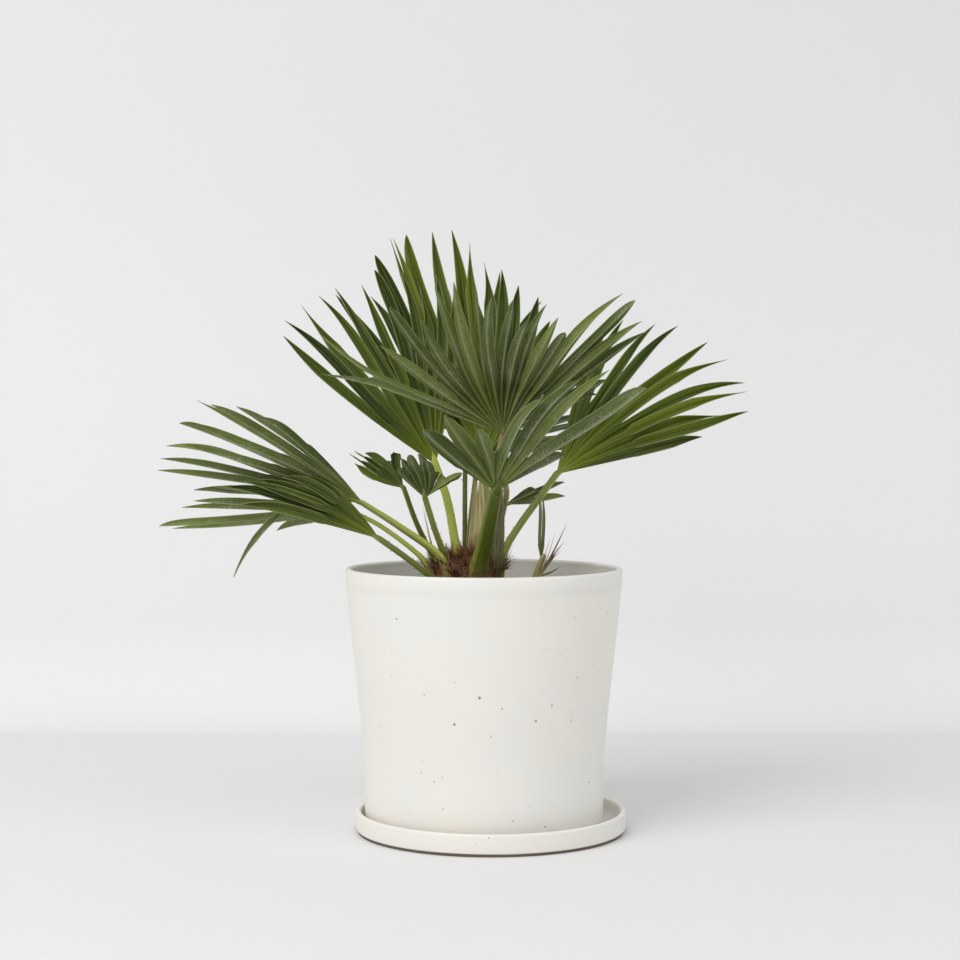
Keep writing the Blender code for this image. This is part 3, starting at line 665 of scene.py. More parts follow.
# fronds: the same stalks, planes and leaflets as the solids, in millimetres and degrees
# tips: one letter for each leaflet, a pointed, b blunt, f forked, d drawn out to a dry thread
# tone: 0 dull blue-green to 1 fresh green; stalkTone: yellowness and brownness of its stalk
# forks: leaflets that part from each other so many rows late; tears: gaps that open early
fronds = {
    "front_upper": dict(
        stalk=[(2, -9, 229), (7, -20, 275), (11, -29, 297), (14, -36, 317), (6, -42, 341),
               (11, -45, 368)],
        radius=(3.0, 2.6), axis=(-90, 50, 0), spread=(-64, 62), split=50, width=9.5,
        forks={(0, 1): 10}, close=0.72, widths={0: 0.62, 1: 0.62}, stalkTone=(0.30, 0.85),
        costa=0.3, threads=7,
        leaflets=[(-66, 176), (-55, 196), (-46, 150), (-35, 172), (-28, 150), (-20, 174), (-14, 178),
                  (-9, 163), (-4, 157), (3, 149), (9, 135), (14, 149), (19, 142), (25, 126),
                  (32, 189), (37, 186), (42, 176), (47, 169), (54, 112), (61, 95)],
        tips="aaabaaadaaaaababaaaa", tone=0.45),
    "front_lower": dict(
        stalk=[(-14, -22, 229), (-10, -32, 252), (-5, -45, 272), (0, -62, 297), (4, -75, 317)],
        radius=(8.5, 6.3), axis=(-70, 45, 0), spread=(-50, 46), split=42, width=12, tears=(2,),
        widths={0: 1.15, 1: 1.15, 6: 1.1}, stalkTone=(0.04, 0.0),
        leaflets=[(-47, 122), (-37, 120), (-25, 92), (6, 118), (15, 150), (23, 162), (37, 168),
                  (48, 72)], tips="aaaaaaba", tone=0.25),
    "left_upper": dict(
        stalk=[(-26, -4, 230), (-29, -4, 250), (-33, -3, 269), (-40, -1, 306), (-51, 0, 339)],
        radius=(4.8, 3.6), axis=(180, 76, 68), spread=(41, -27), split=68, width=9,
        leaflets=[(37, 184), (34, 192), (27, 191), (22, 188), (16, 186), (9, 178), (3, 188),
                  (-4, 181), (-10, 168), (-15, 177), (-22, 170)], tips="aadaaabadaa", tone=0.5,
        stalkTone=(1.0, 0.0)),
    "centre_tall": dict(
        stalk=[(-12, 8, 229), (-9, 11, 262), (-6, 17, 300), (-6, 30, 342)],
        radius=(5.2, 4.2), axis=(135, 79, 39), spread=(42, -40), split=82, width=10.5,
        leaflets=[(34, 211), (27, 188), (20, 222), (15, 228), (11, 229), (5, 224), (0, 225),
                  (-4, 209), (-8, 191), (-13, 184), (-19, 173), (-26, 166), (-33, 150)],
        tips="aabfbaaddaaaa", tone=0.55, stalkTone=(0.35, 0.15)),
    "right": dict(
        stalk=[(6, 4, 229), (13, 4, 259), (27, 4, 283), (46, 5, 309), (61, 5, 330)],
        radius=(3.8, 3.2), axis=(2, 42, -54), spread=(37, -31), split=68, width=10,
        leaflets=[(34, 160), (28, 166), (18, 174), (10, 181), (0, 187), (-10, 190), (-18, 192),
                  (-22, 191), (-25, 160), (-28, 187), (-31, 140)], tips="aaaaadaddaa", tone=0.8,
        stalkTone=(0.30, 0.0)),
    "left_low_front": dict(
        stalk=[(-49, -17, 231), (-57, -19, 238), (-78, -27, 255), (-101, -35, 272)],
        radius=(3.0, 2.8), axis=(180, 32, 70), spread=(-21, 14), split=46, width=9, droop=0.10,
        leaflets=[(-13, 98), (-5, 112), (0, 128), (4, 140), (8, 155), (13, 134)],
        tips="aaaaaa", tone=0.6, stalkTone=(0.25, 0.1)),
    "left_low_middle": dict(
        stalk=[(-49, -4, 231), (-62, -5, 251), (-80, -3, 267), (-105, 2, 284), (-130, 5, 296)],
        radius=(2.9, 2.5), axis=(178, 3, -28), spread=(27, -36), split=38, width=8.5,
        droops={0: 0.76},
        leaflets=[(32, 120), (16, 128), (5, 145), (-5, 160), (-14, 191), (-20, 187), (-32, 86)],
        tips="faaabaa", tone=0.5, stalkTone=(0.95, 0.0)),
    "left_low_back": dict(
        stalk=[(-37, -21, 230), (-47, -19, 256), (-83, -14, 282), (-118, -10, 304)],
        radius=(5.0, 3.0), axis=(186, 24, -32), spread=(40, -34), split=78, width=8.5, droop=0.06,
        leaflets=[(34, 150), (29, 165), (25, 183), (20, 190), (12, 176), (5, 187), (-2, 176),
                  (-9, 193), (-13, 196), (-22, 205), (-27, 170)], tips="aaadabaaaaa", tone=0.6,
        stalkTone=(0.42, 0.1)),
    "left_small_inner": dict(
        stalk=[(-36, -8, 231), (-40, -10, 249), (-51, -17, 279), (-60, -25, 309)],
        radius=(3.2, 2.8), axis=(-100, 60, 0), spread=(-38, 47), split=25, width=8, tears=(4,),
        leaflets=[(-34, 38), (-22, 46), (-12, 48), (-2, 47), (8, 42), (54, 46)],
        forks={(0, 4): 9}, widths={5: 0.7}, tips="babbaa", tone=0.3, stalkTone=(0.35, 0.1)),
    "left_small_outer": dict(
        stalk=[(-43, 5, 231), (-56, 4, 258), (-69, -3, 286), (-80, -14, 318)],
        radius=(2.8, 2.4), axis=(180, 34, 62), spread=(-40, 24), split=24, width=8.5, tears=(0,),
        leaflets=[(-44, 37), (-9, 48), (-4, 57), (2, 59), (7, 50)], tips="daaaa", tone=0.35,
        forks={(1, 4): 16}, stalkTone=(0.15, 0.1)),
    "right_small": dict(
        stalk=[(-1, 18, 231), (2, 21, 262), (7, 23, 282), (14, 25, 301)],
        radius=(2.5, 2.2), axis=(10, 15, 30), spread=(-26, 22), split=22, width=8.5,
        leaflets=[(-30, 34), (-15, 59), (11, 60)], tips="aaa", tone=0.2, stalkTone=(0.2, 0.2)),
    "back_tall": dict(
        stalk=[(-23, 24, 231), (-24, 25, 263), (-24, 38, 325), (-23, 45, 361)],
        radius=(2.5, 2.2), axis=(80, 70, 0), spread=(34, -36), split=50, width=8.5,
        leaflets=[(30, 140), (20, 156), (11, 165), (3, 158), (-7, 177), (-15, 150), (-24, 158),
                  (-32, 140)], tips="aabaabaa", tone=0.4, stalkTone=(0.12, 0.15)),
    "back_right": dict(
        stalk=[(-21, 12, 231), (-20, 18, 275), (-15, 32, 320), (-12, 42, 350)],
        radius=(2.5, 2.2), axis=(20, 15, -20), spread=(38, -32), split=48, width=8.5,
        leaflets=[(32, 118), (20, 132), (8, 132), (-5, 124), (-15, 96), (-22, 118), (-28, 152)],
        tips="aaabaaa", tone=0.2, stalkTone=(0.20, 0.3)),
}

bladeValues = {
    "fusedRows": 11,  # rows of the grid from the hub to the last shared point
    "freeRows": 19,
    "forkRows": 7,  # rows from a forked tip's split to its end
    "columns": 6,
    "thickness": 0.0005,
    "fold": 0.48,  # depth of a leaflet's fold for each unit of its width
    "stagger": 0.034,  # every second leaflet lifts by this share of its length
    "fill": 0.80,  # widest a leaflet gets, as a share of the way to its neighbour
    "wider": 1.14,  # leaflets against the solids' leaflets
    "twist": 36,  # degrees a leaflet may turn on its way to the tip
    "bow": 0.050,
    "hubOverhang": 1.16,
    "smallestHub": 0.0032,
}


def bladeAxes(azimuth, elevation, roll):
    # direction of the middle leaflet, the blade's side and its upper face
    azimuth, elevation, roll = (math.radians(turn) for turn in (azimuth, elevation, roll))
    level = math.cos(elevation)
    axis = Vector((level * math.cos(azimuth), level * math.sin(azimuth), math.sin(elevation)))
    upright = (Vector((0, 0, 1)) - axis * axis.z).normalized()
    normal = upright * math.cos(roll) + upright.cross(axis) * math.sin(roll)
    return np.array(axis), np.array(normal.cross(axis)), np.array(normal)


def hubRadius(frond):
    return max(frond["radius"][1] / 1000 * bladeValues["hubOverhang"], bladeValues["smallestHub"])


def tipProfile(kind, share):
    # half width of a leaflet's free part, for each unit of its full half width
    body = 0.94 + 0.06 * math.sin(math.pi * min(share / 0.7, 1))
    start, power = {"a": (0.56, 1.45), "b": (0.72, 2.6), "f": (0.72, 2.2), "d": (0.58, 1.15)}[kind]
    if share <= start:
        return body
    t = (share - start) / (1 - start)
    end = 1 - t ** power
    if kind == "b":
        end = max(1 - t ** 2.2, 0) ** 0.85
    if kind == "d":
        end = max((1 - t) ** 1.5, 0.07 * (1 - t ** 6))
    if kind == "f":
        end = 1 - 0.45 * t
    return body * end


def freeShare(row):
    # rows lie closer together towards the tip
    return 1 - (1 - (row - bladeValues["fusedRows"]) / bladeValues["freeRows"]) ** 1.35


def leafletMaster(kind):
    # a flat strap, shaped row by row in edit mode
    fused, free = bladeValues["fusedRows"], bladeValues["freeRows"]
    total = fused + free
    master, _ = addGrid("leaflet_" + kind, bladeValues["columns"], total)
    bpy.ops.object.mode_set(mode="EDIT")

    def rowOf(place):
        return round((place.y + 0.5) * total)

    for row in range(fused + 1, total + 1):
        selectPoints(master, lambda place: rowOf(place) == row)
        size = tipProfile(kind, freeShare(row))
        bpy.ops.transform.resize(value=(size, 1, 1))
    if kind == "f":
        # the last part is split down the midrib, and each half runs to its own point
        start = total - bladeValues["forkRows"]
        splitEdges(master, lambda edge: all(
            abs(vertex.co.x) < 0.0001 and rowOf(vertex.co) >= start for vertex in edge.verts))
        shape = bmesh.from_edit_mesh(master.data)
        for vertex in shape.verts:
            row = rowOf(vertex.co)
            if row > start:
                t = (row - start) / (total - start)
                full = tipProfile(kind, freeShare(row)) / 2
                sign = math.copysign(1, sum(face.calc_center_median().x for face in vertex.link_faces))
                inward = 1 - 0.55 * t
                vertex.co.x = sign * full * (0.5 + (abs(vertex.co.x) / full - 0.5) * (1 - t) * inward)
        bmesh.update_edit_mesh(master.data)
    editEnd()
    grid = points(master)
    return master, grid[:, 0] * 2, np.round((grid[:, 1] + 0.5) * total).astype(int)


def leafletLine(frond, axes, i, reach):
    # points on leaflet i's middle line at distances from the hub, and the line's direction
    leaflets = frond["leaflets"]
    count = len(leaflets)
    first, last = frond["spread"]
    step = (last - first) / (count - 1)
    k = min(max(i, 0), count - 1)
    base = first + step * i
    tip = leaflets[k][0] + step * (i - k)
    length = leaflets[k][1] / 1000
    lift = bladeValues["stagger"] * (0.5 if k % 2 else -0.5)
    droop = frond.get("droops", {}).get(k, frond.get("droop", 0.0))
    axis, side, normal = axes
    together = [ends for ends in frond.get("forks", {}) if ends[0] <= i <= ends[1]]

    def at(distance):
        share = distance / length
        turn = base + (tip - base) * share
        if together:
            # the halves of a forked leaflet lie close together up to the fork
            low, high = together[0]
            middle = first + step * (low + high) / 2
            middle = middle + ((leaflets[low][0] + leaflets[high][0]) / 2 - middle) * share
            near = np.clip((distance - 0.01) / 0.05, 0, 1) * np.clip(3.2 - 3.2 * share, 0, 1)
            turn = middle + (turn - middle) * (1 - frond.get("close", 0.0) * near)
        turn = np.radians(turn)[:, None]
        place = (axis * np.cos(turn) + side * np.sin(turn) + normal * lift) * distance[:, None]
        place[:, 2] -= droop * length * share ** 3
        return place

    here = at(reach)
    return here, unit(at(reach + length * 0.01) - here)


def layLeaflet(frond, axes, i, lastShared, draw):
    values = bladeValues
    fused, total = values["fusedRows"], values["fusedRows"] + values["freeRows"]
    leaflets = frond["leaflets"]
    first, last = frond["spread"]
    sign = math.copysign(1, last - first)
    length = leaflets[i][1] / 1000
    split = frond["split"] / 1000 * 1.1
    inner = hubRadius(frond) * 0.55
    shares = np.array([freeShare(row) for row in range(fused, total + 1)])
    fusedPart = inner + (split - inner) * (np.arange(fused) / fused)
    free = split + (length - split) * shares
    for (low, high), late in frond.get("forks", {}).items():
        if low <= i <= high:
            # joined leaflets share their rows up to the fork
            shorter = min(leaflets[k][1] for k in range(low, high + 1)) / 1000
            common = split + (shorter - split) * shares[:late + 1]
            beyond = (shares[late + 1:] - shares[late]) / (1 - shares[late])
            free = np.concatenate([common, common[-1] + (length - common[-1]) * beyond])
    reach = np.concatenate([fusedPart, free])
    freeness = np.concatenate([np.zeros(fused), shares])
    normal = axes[2]
    here, forward = leafletLine(frond, axes, i, reach)
    across = unit(np.cross(forward, normal)) * sign
    lifted = np.cross(across, forward) * sign
    pleat = values["fold"] * np.minimum(1, (reach - inner) / (0.25 * split))
    neighbours = [leafletLine(frond, axes, i + turn, reach)[0] for turn in (-1, 1)]
    ways = [np.linalg.norm(other - here, axis=1) for other in neighbours]
    half = frond["width"] / 2000 * values["wider"] * (0.93 + 0.14 * draw.random())
    half *= frond.get("widths", {}).get(i, 1.0)
    # a free leaflet leaves its neighbours gradually
    loose = np.clip(freeness / 0.12, 0, 1)
    spans = [np.minimum(way * (0.5 - (0.5 - values["fill"]) * loose), np.maximum(half, way * 0.2))
             for way in ways]
    spans = [np.where(freeness > 0, np.minimum(span, half), span) for span in spans]
    spans = [np.where(freeness > 0, span, way / 2) for span, way in zip(spans, ways)]
    depth = (spans[0] + spans[1]) * pleat / 2
    bow = draw.uniform(-1, 1) * values["bow"] * (length - split)
    sag = draw.uniform(-1, 1) * values["bow"] * 0.7 * (length - split)
    swing = np.sin(math.pi * freeness) * (freeness ** 0.5)
    middle = here - lifted * depth[:, None] + (across * bow + lifted * sag) * swing[:, None]
    twist = math.radians(values["twist"]) * draw.uniform(-1, 1) * freeness ** 1.2
    edges = []
    for turn, other, way, span, shared in zip((1, -1), neighbours, ways, spans, lastShared):
        sideways = turn * span * np.cos(twist) - 2 * depth * np.sin(twist)
        upwards = turn * span * np.sin(twist) + 2 * depth * np.cos(twist)
        edge = middle + across * sideways[:, None] + lifted * upwards[:, None]
        ridge = (here + other) / 2 + normal * (way * pleat / 2)[:, None]
        rows = np.arange(len(reach)) <= shared
        edges.append(np.where(rows[:, None], ridge, edge))
    master, x, row = leafletMasters[frond["tips"][i]]
    edge = np.where((x > 0)[:, None], edges[0][row], edges[1][row])
    share = np.abs(x)[:, None]
    place = middle[row] + (edge - middle[row]) * share
    place += lifted[row] * (depth[row] * 0.45 * np.sin(math.pi * np.minimum(share[:, 0], 1)))[:, None]
    # 0 to 0.3 from the hub to where the leaflet comes free, then on to 1 at its tip
    progress = np.where(freeness > 0, 0.3 + 0.7 * freeness, 0.3 * reach / reach[fused])
    # distance from the hub, which sets the painted through-light near the hub
    fresh = np.minimum(reach / 0.25 + max(0.0, 0.26 - 1.7 * length), 1)
    return copyOf(master, place, leafData=(draw.random(), progress[row], fresh[row], frond["tone"]))


def joinLeaflets(name, leaflets, centre):
    piece = joined(name, leaflets)
    setPoints(piece, points(piece) + centre)
    paint(piece, leafUpper, leafUnder)
    closeMesh(piece, 30, 0.00003, recalculate=False)
    return piece


def thicken(piece):
    applyModifier(piece, "SOLIDIFY", thickness=bladeValues["thickness"], offset=0.0,
                  material_offset=1)


def makeBlade(name, frond, draw):
    axes = bladeAxes(*frond["axis"])
    count = len(frond["leaflets"])
    fused = bladeValues["fusedRows"]
    # the gap after each leaflet opens at its own row
    gaps = [draw.choice((fused, fused, fused - 1, fused - 2)) for _ in range(count + 1)]
    for torn in frond.get("tears", ()):
        gaps[torn + 1] = 2
    for (low, high), late in frond.get("forks", {}).items():
        for k in range(low + 1, high + 1):
            gaps[k] = fused + late
    leaflets = [layLeaflet(frond, axes, i, (gaps[i], gaps[i + 1]), draw) for i in range(count)]
    piece = joinLeaflets(name, leaflets, np.array(frond["stalk"][-1]) / 1000)
    facing = sum(face.normal.dot(Vector(axes[2])) * face.area for face in piece.data.polygons)
    if facing < 0:
        flipFaces()
    thicken(piece)
    bpy.ops.object.shade_smooth_by_angle(angle=math.radians(32))
    return piece


leafColours = {
    "upperDark": (0.015, 0.033, 0.001),
    "upperLight": (0.142, 0.190, 0.012),
    "underDark": (0.032, 0.056, 0.002),
    "underLight": (0.190, 0.250, 0.036),
    "dull": (0.086, 0.114, 0.046),
    # yellow-green near the hub: painted light shining through the leaf
    "base": (0.27, 0.33, 0.030),
    "rib": (0.34, 0.38, 0.18),
    "edge": (0.32, 0.35, 0.17),
    "dry": (0.33, 0.25, 0.14),
    "scurf": (0.44, 0.46, 0.34),
    "streaks": (9.0, 2.2),  # streaks across a leaflet and along it
    "streakRange": (0.95, 2.40),
    "dullShares": (0.35, 0.30),  # by a frond's tone, and by leaflet
    "throughLightReach": (0.03, 0.26),
    "throughLightShare": 0.55,
    "ribWidth": (0.02, 0.19),
    "edgeShare": 0.6,
    "dryFrom": (1.035, 1.065),
    "roughness": 0.42,
    "specular": 0.17,
}


def leafMaterial(name, face, values, scurf):
    material, tree, shader = startMaterial(name, values["roughness"], values["specular"])
    tint, share, distance, tone = keptNumbers(tree, "leafData")
    across, lengthwise = values["streaks"]
    streak = useGroup(tree, streakGroup, Across=across, Along=lengthwise, Shift=tint)
    grain = useGroup(tree, grainGroup, Scale=26.0)
    uv = uvParts(tree)
    off = calc(tree, "ABSOLUTE", timesPlus(tree, uv["X"], 2.0, -1.0))
    amount = timesPlus(tree, streak["Streak"], 1.5, times(tree, tint, 0.85))
    amount = timesPlus(tree, streak["Fine"], 0.6, amount)
    amount = timesPlus(tree, grain["Cloud"], 0.40, amount)
    colour = mixColours(tree, ramp(tree, amount, *values["streakRange"]),
                        values[face + "Dark"], values[face + "Light"])
    byTone, byLeaflet = values["dullShares"]
    dullness = times(tree, calc(tree, "SUBTRACT", 1.0, tone), byTone)
    other = calc(tree, "FRACT", times(tree, tint, 7.13))
    dullness = timesPlus(tree, ramp(tree, other, 0.45, 1.0), byLeaflet, dullness)
    colour = mixColours(tree, dullness, colour, values["dull"])
    # yellow-green near the hub is painted light, as if shining through the leaf
    throughLightNearHub = fall(tree, distance, *values["throughLightReach"])
    colour = layOver(tree, colour, values["base"], throughLightNearHub, values["throughLightShare"])
    rib = fall(tree, off, *values["ribWidth"])
    ribShare = timesPlus(tree, streak["Fine"], 0.6, 0.25)
    colour = layOver(tree, colour, values["rib"], rib, ribShare)
    # the creases where leaflets join are painted dark, a painted shade, and their free edges pale
    free = ramp(tree, share, 0.29, 0.36)
    fused = calc(tree, "SUBTRACT", 0.75, free, clamp=True)
    colour = layOver(tree, colour, values["upperDark"], ramp(tree, off, 0.70, 1.0), fused)
    pale = times(tree, free, values["edgeShare"])
    colour = layOver(tree, colour, values["edge"], ramp(tree, off, 0.86, 0.99), pale)
    browning = timesPlus(tree, grain["Cloud"], 0.10, share)
    colour = mixColours(tree, ramp(tree, browning, *values["dryFrom"]), colour, values["dry"])
    if scurf:
        # pale flecks, densest beside the midrib
        flecks = useGroup(tree, grainGroup, Scale=90.0)
        fleck = ramp(tree, flecks["Grain"], 0.47, 0.64)
        patches = ramp(tree, grain["Cloud"], 0.38, 0.68)
        beside = fall(tree, off, 0.05, 0.75)
        spread = timesPlus(tree, beside, 0.65, 0.25)
        spread = times(tree, spread, timesPlus(tree, patches, 0.75, 0.25))
        fleck = times(tree, fleck, times(tree, spread, scurf))
        colour = mixColours(tree, fleck, colour, values["scurf"])
    rough = timesPlus(tree, streak["Fine"], 0.20, values["roughness"] - 0.10)
    height = timesPlus(tree, streak["Fine"], 0.5, streak["Streak"])
    finishMaterial(tree, shader, colour, rough, height, 0.35, 0.0004)
    return material


leafUpper = leafMaterial("leafUpper", "upper", leafColours, 0.0)
leafUnder = leafMaterial("leafUnder", "under", leafColours, 1.0)
leafletMasters = {kind: leafletMaster(kind) for kind in "abfd"}
for number, (name, frond) in enumerate(fronds.items()):
    blade = makeBlade("blade_" + name + "_fine", frond, random.Random(40 + number))
    handIn(blade, "leaf_green", "blade_" + name)
print("fans made:", len(fronds))


# stalks, with spines along both edges
stalkValues = {
    "around": 14,
    "rows": 30,  # rows along the stalk, and along the rib under its fan
    "costaRows": 8,
    "flare": 0.50,  # the foot is this much thicker
    "flareEnd": 0.34,
    "flat": 0.62,  # the upper side is flatter than the lower
    "spines": 7,  # on each edge
    "spineLength": (0.0009, 0.0023),
    "costa": 0.024,  # how far the stalk runs on under its fan
    "dark": (0.050, 0.078, 0.001),
    "yellow": (0.47, 0.52, 0.085),
    "withered": (0.36, 0.25, 0.165),
    "rust": (0.15, 0.055, 0.028),
}


def stalkMaterial(name, values):
    material, tree, shader = startMaterial(name, 0.42)
    share, yellow, brown, shift = keptNumbers(tree, "stalkData")
    streak = useGroup(tree, streakGroup, Across=18.0, Along=1.2, Shift=shift)
    grain = useGroup(tree, grainGroup, Scale=60.0)
    uv = uvParts(tree)
    # both edges are yellower than the faces, and so is the foot
    across = calc(tree, "COSINE", times(tree, uv["X"], math.tau))
    edge = ramp(tree, calc(tree, "ABSOLUTE", across), 0.62, 0.96)
    amount = timesPlus(tree, streak["Streak"], 0.50, -0.25)
    amount = timesPlus(tree, yellow, 0.85, amount)
    amount = timesPlus(tree, edge, 0.34, amount)
    low = fall(tree, share, 0.10, 0.65)
    amount = timesPlus(tree, low, 0.16, amount)
    colour = mixColours(tree, ramp(tree, amount, -0.10, 1.10), values["dark"], values["yellow"])
    patches = timesPlus(tree, grain["Cloud"], 0.8, 0.4)
    worn = times(tree, times(tree, brown, patches), ramp(tree, share, 0.25, 0.85))
    colour = mixColours(tree, worn, colour, values["withered"])
    foot = timesPlus(tree, grain["Cloud"], 0.50, share)
    rusty = fall(tree, foot, 0.28, 0.52)
    colour = layOver(tree, colour, values["rust"], rusty, 0.75)
    specks = ramp(tree, grain["Grain"], 0.62, 0.72)
    colour = layOver(tree, colour, values["rust"], specks, 0.30)
    height = calc(tree, "ADD", streak["Fine"], grain["Grain"])
    finishMaterial(tree, shader, colour, timesPlus(tree, rusty, 0.35, 0.42), height, 0.3, 0.0005)
    return material


def spineMaster():
    bpy.ops.mesh.primitive_cone_add(vertices=5, radius1=0.32, radius2=0.0, depth=1.0,
                                    location=(0, 0, 0.5))
    spine = bpy.context.object
    bpy.ops.object.transform_apply(location=True)
    bpy.ops.object.mode_set(mode="EDIT")
    selectPoints(spine, lambda place: place.z > 0.9)
    bpy.ops.transform.translate(value=(0.35, 0, 0))
    editEnd()
    return spine


def makeStalk(name, frond, grid, uv, spine, draw):
    values = stalkValues
    axes = bladeAxes(*frond["axis"])
    route = smoothRoute(frond["stalk"], values["rows"])
    hub = route[-1]
    low, high = (radius / 1000 for radius in frond["radius"])
    share = np.linspace(0, 1, len(route))
    radius = low + (high - low) * share
    radius = radius * (1 + values["flare"] * np.clip(1 - share / values["flareEnd"], 0, 1) ** 1.5)
    # the stalk ends in a tapering rib under the fan
    costa = values["costa"] * min(1.0, frond["split"] / 60) * frond.get("costa", 1.0)
    steps = np.linspace(0.10, 1, values["costaRows"])[:, None]
    run = hub + axes[0] * costa * steps - axes[2] * high * 0.30 * np.sin(math.pi * steps)
    route = np.vstack([route, run])
    radius = np.concatenate([radius, high * 0.98 * (1 - steps[:, 0]) ** 0.8 + 0.0001])
    # the foot and the tip close to a point
    route = np.vstack([route[0], route, route[-1]])
    radius = np.concatenate([[0.0], radius, [0.0]])
    shares = np.concatenate([[0.0], share, np.ones(values["costaRows"] + 1)])[rowsOf(uv, route)]
    place = rolled(uv, route, radius, axes[2], values["flat"])
    forward, side, _ = tubeAxes(route, axes[2])
    yellow, brown = frond["stalkTone"]
    shift = draw.random()
    items = [copyOf(grid, place, stalkData=(shares, yellow, brown, shift))]
    cone = points(spine)
    for k in range(values["spines"] * 2):
        at = 0.22 + 0.72 * (k + draw.random()) / (values["spines"] * 2)
        row = 1 + int(at * (values["rows"] - 1))
        out = side[row] * (1 if k % 2 else -1)
        size = draw.uniform(*values["spineLength"])
        turned = np.stack([forward[row], np.cross(out, forward[row]), out])
        spot = route[row] + out * radius[row] * 0.9
        items.append(copyOf(spine, spot + cone * size @ turned, stalkData=(at, yellow, 0.9, shift)))
    # short brown threads where the stalk meets its fan
    for k in range(frond.get("threads", 0)):
        turn = (k / (frond["threads"] - 1) - 0.5) * 1.6 + draw.uniform(-0.2, 0.2)
        out = unit(axes[0] * math.cos(turn) + axes[1] * math.sin(turn) - axes[2] * 0.25)
        level = unit(np.cross(out, axes[2]))
        size = draw.uniform(1.0, 1.9) * high * np.array([0.4, 0.4, 1.0])
        turned = np.stack([level, np.cross(out, level), out])
        spot = hub - axes[2] * high * 0.8 + out * high * 0.5
        items.append(copyOf(spine, spot + cone * size @ turned, stalkData=(1.0, 0.3, 1.0, shift)))
    piece = joined(name, items)
    paint(piece, stalkGreen)
    closeMesh(piece, 50)
    return piece


stalkGreen = stalkMaterial("stalkGreen", stalkValues)
stalkGrid, stalkUV = addGrid("stalkGrid", stalkValues["around"],
                             stalkValues["rows"] + stalkValues["costaRows"] + 1)
spine = spineMaster()
for number, (name, frond) in enumerate(fronds.items()):
    stalk = makeStalk("stalk_" + name + "_fine", frond, stalkGrid, stalkUV, spine,
                      random.Random(70 + number))
    handIn(stalk, "stalk_green", "stalk_" + name)
print("stalks made:", len(fronds))


# crown of brown fibre
crownValues = {
    "place": (-0.022, 0.0),
    "foot": 0.190,
    "radius": 0.037,
    "neck": 0.030,
    "top": 0.2655,
    "coreShare": 0.85,  # the solid core stays inside the strands
    "coreDrop": 0.0065,
    "lumps": 0.0030,
    "tufts": 30,
    "perTuft": 26,
    "loose": 900,
    "climbing": 12,  # strands up each stalk's foot
    "fibreRadius": (0.00018, 0.00048),
    "tuftLength": (0.009, 0.021),
    "looseLength": (0.006, 0.017),
    "climbLength": (0.012, 0.030),
    "dryTipRadius": 0.0011,
    # taller torn tufts: foot in millimetres, spread, length and number of strands
    "tallTufts": [((-15, -13, 246), 5.0, 34, 70), ((-40, -10, 250), 4.0, 20, 30),
                  ((6, -6, 250), 4.0, 24, 30), ((-27, -14, 252), 4.5, 18, 30)],
    "dark": (0.060, 0.024, 0.011),
    "red": (0.310, 0.125, 0.050),
    "tan": (0.56, 0.39, 0.20),
    "dryTips": [((-50, -12, 250), (-64, -13, 302)), ((-44, -13, 250), (-70, -17, 281))],
}


def fibreMaterial(values):
    material, tree, shader = startMaterial("crownFibre", 0.8)
    tint = keptNumbers(tree, "fibreData")[0]
    grain = useGroup(tree, grainGroup, Scale=75.0)
    amount = timesPlus(tree, grain["Cloud"], 0.9, calc(tree, "SUBTRACT", tint, 0.45))
    colour = mixColours(tree, ramp(tree, amount, 0.05, 0.75), values["dark"], values["red"])
    colour = mixColours(tree, ramp(tree, tint, 0.72, 1.0), colour, values["tan"])
    rough = timesPlus(tree, grain["Grain"], 0.3, 0.6)
    finishMaterial(tree, shader, colour, rough, grain["Grain"], 0.6, 0.0008)
    return material


def crownHeight(reach, values):
    shares = (0.0, 0.35, 0.75, 0.97, 1.0)
    drops = (0.0, 0.002, 0.009, 0.020, 0.032)
    return values["top"] - float(np.interp(reach / values["radius"], shares, drops))


def strand(master, uv, start, direction, length, radius, draw, tint, curl):
    # one fibre that wanders from its start, tapering to a point
    steps = 7
    route = [np.array(start, float)]
    heading = np.array(direction, float)
    for _ in range(steps - 1):
        heading = unit(heading + np.array([draw.gauss(0, curl), draw.gauss(0, curl),
                                           draw.gauss(0, curl) - 0.04]))
        route.append(route[-1] + heading * length / (steps - 1))
    share = np.linspace(0, 1, steps)
    thick = radius * (1 - share ** 2)
    facing = np.array([0.31, -0.55, 0.78])
    return copyOf(master, rolled(uv, np.array(route), thick, facing), fibreData=(tint, 0, 0, 1))


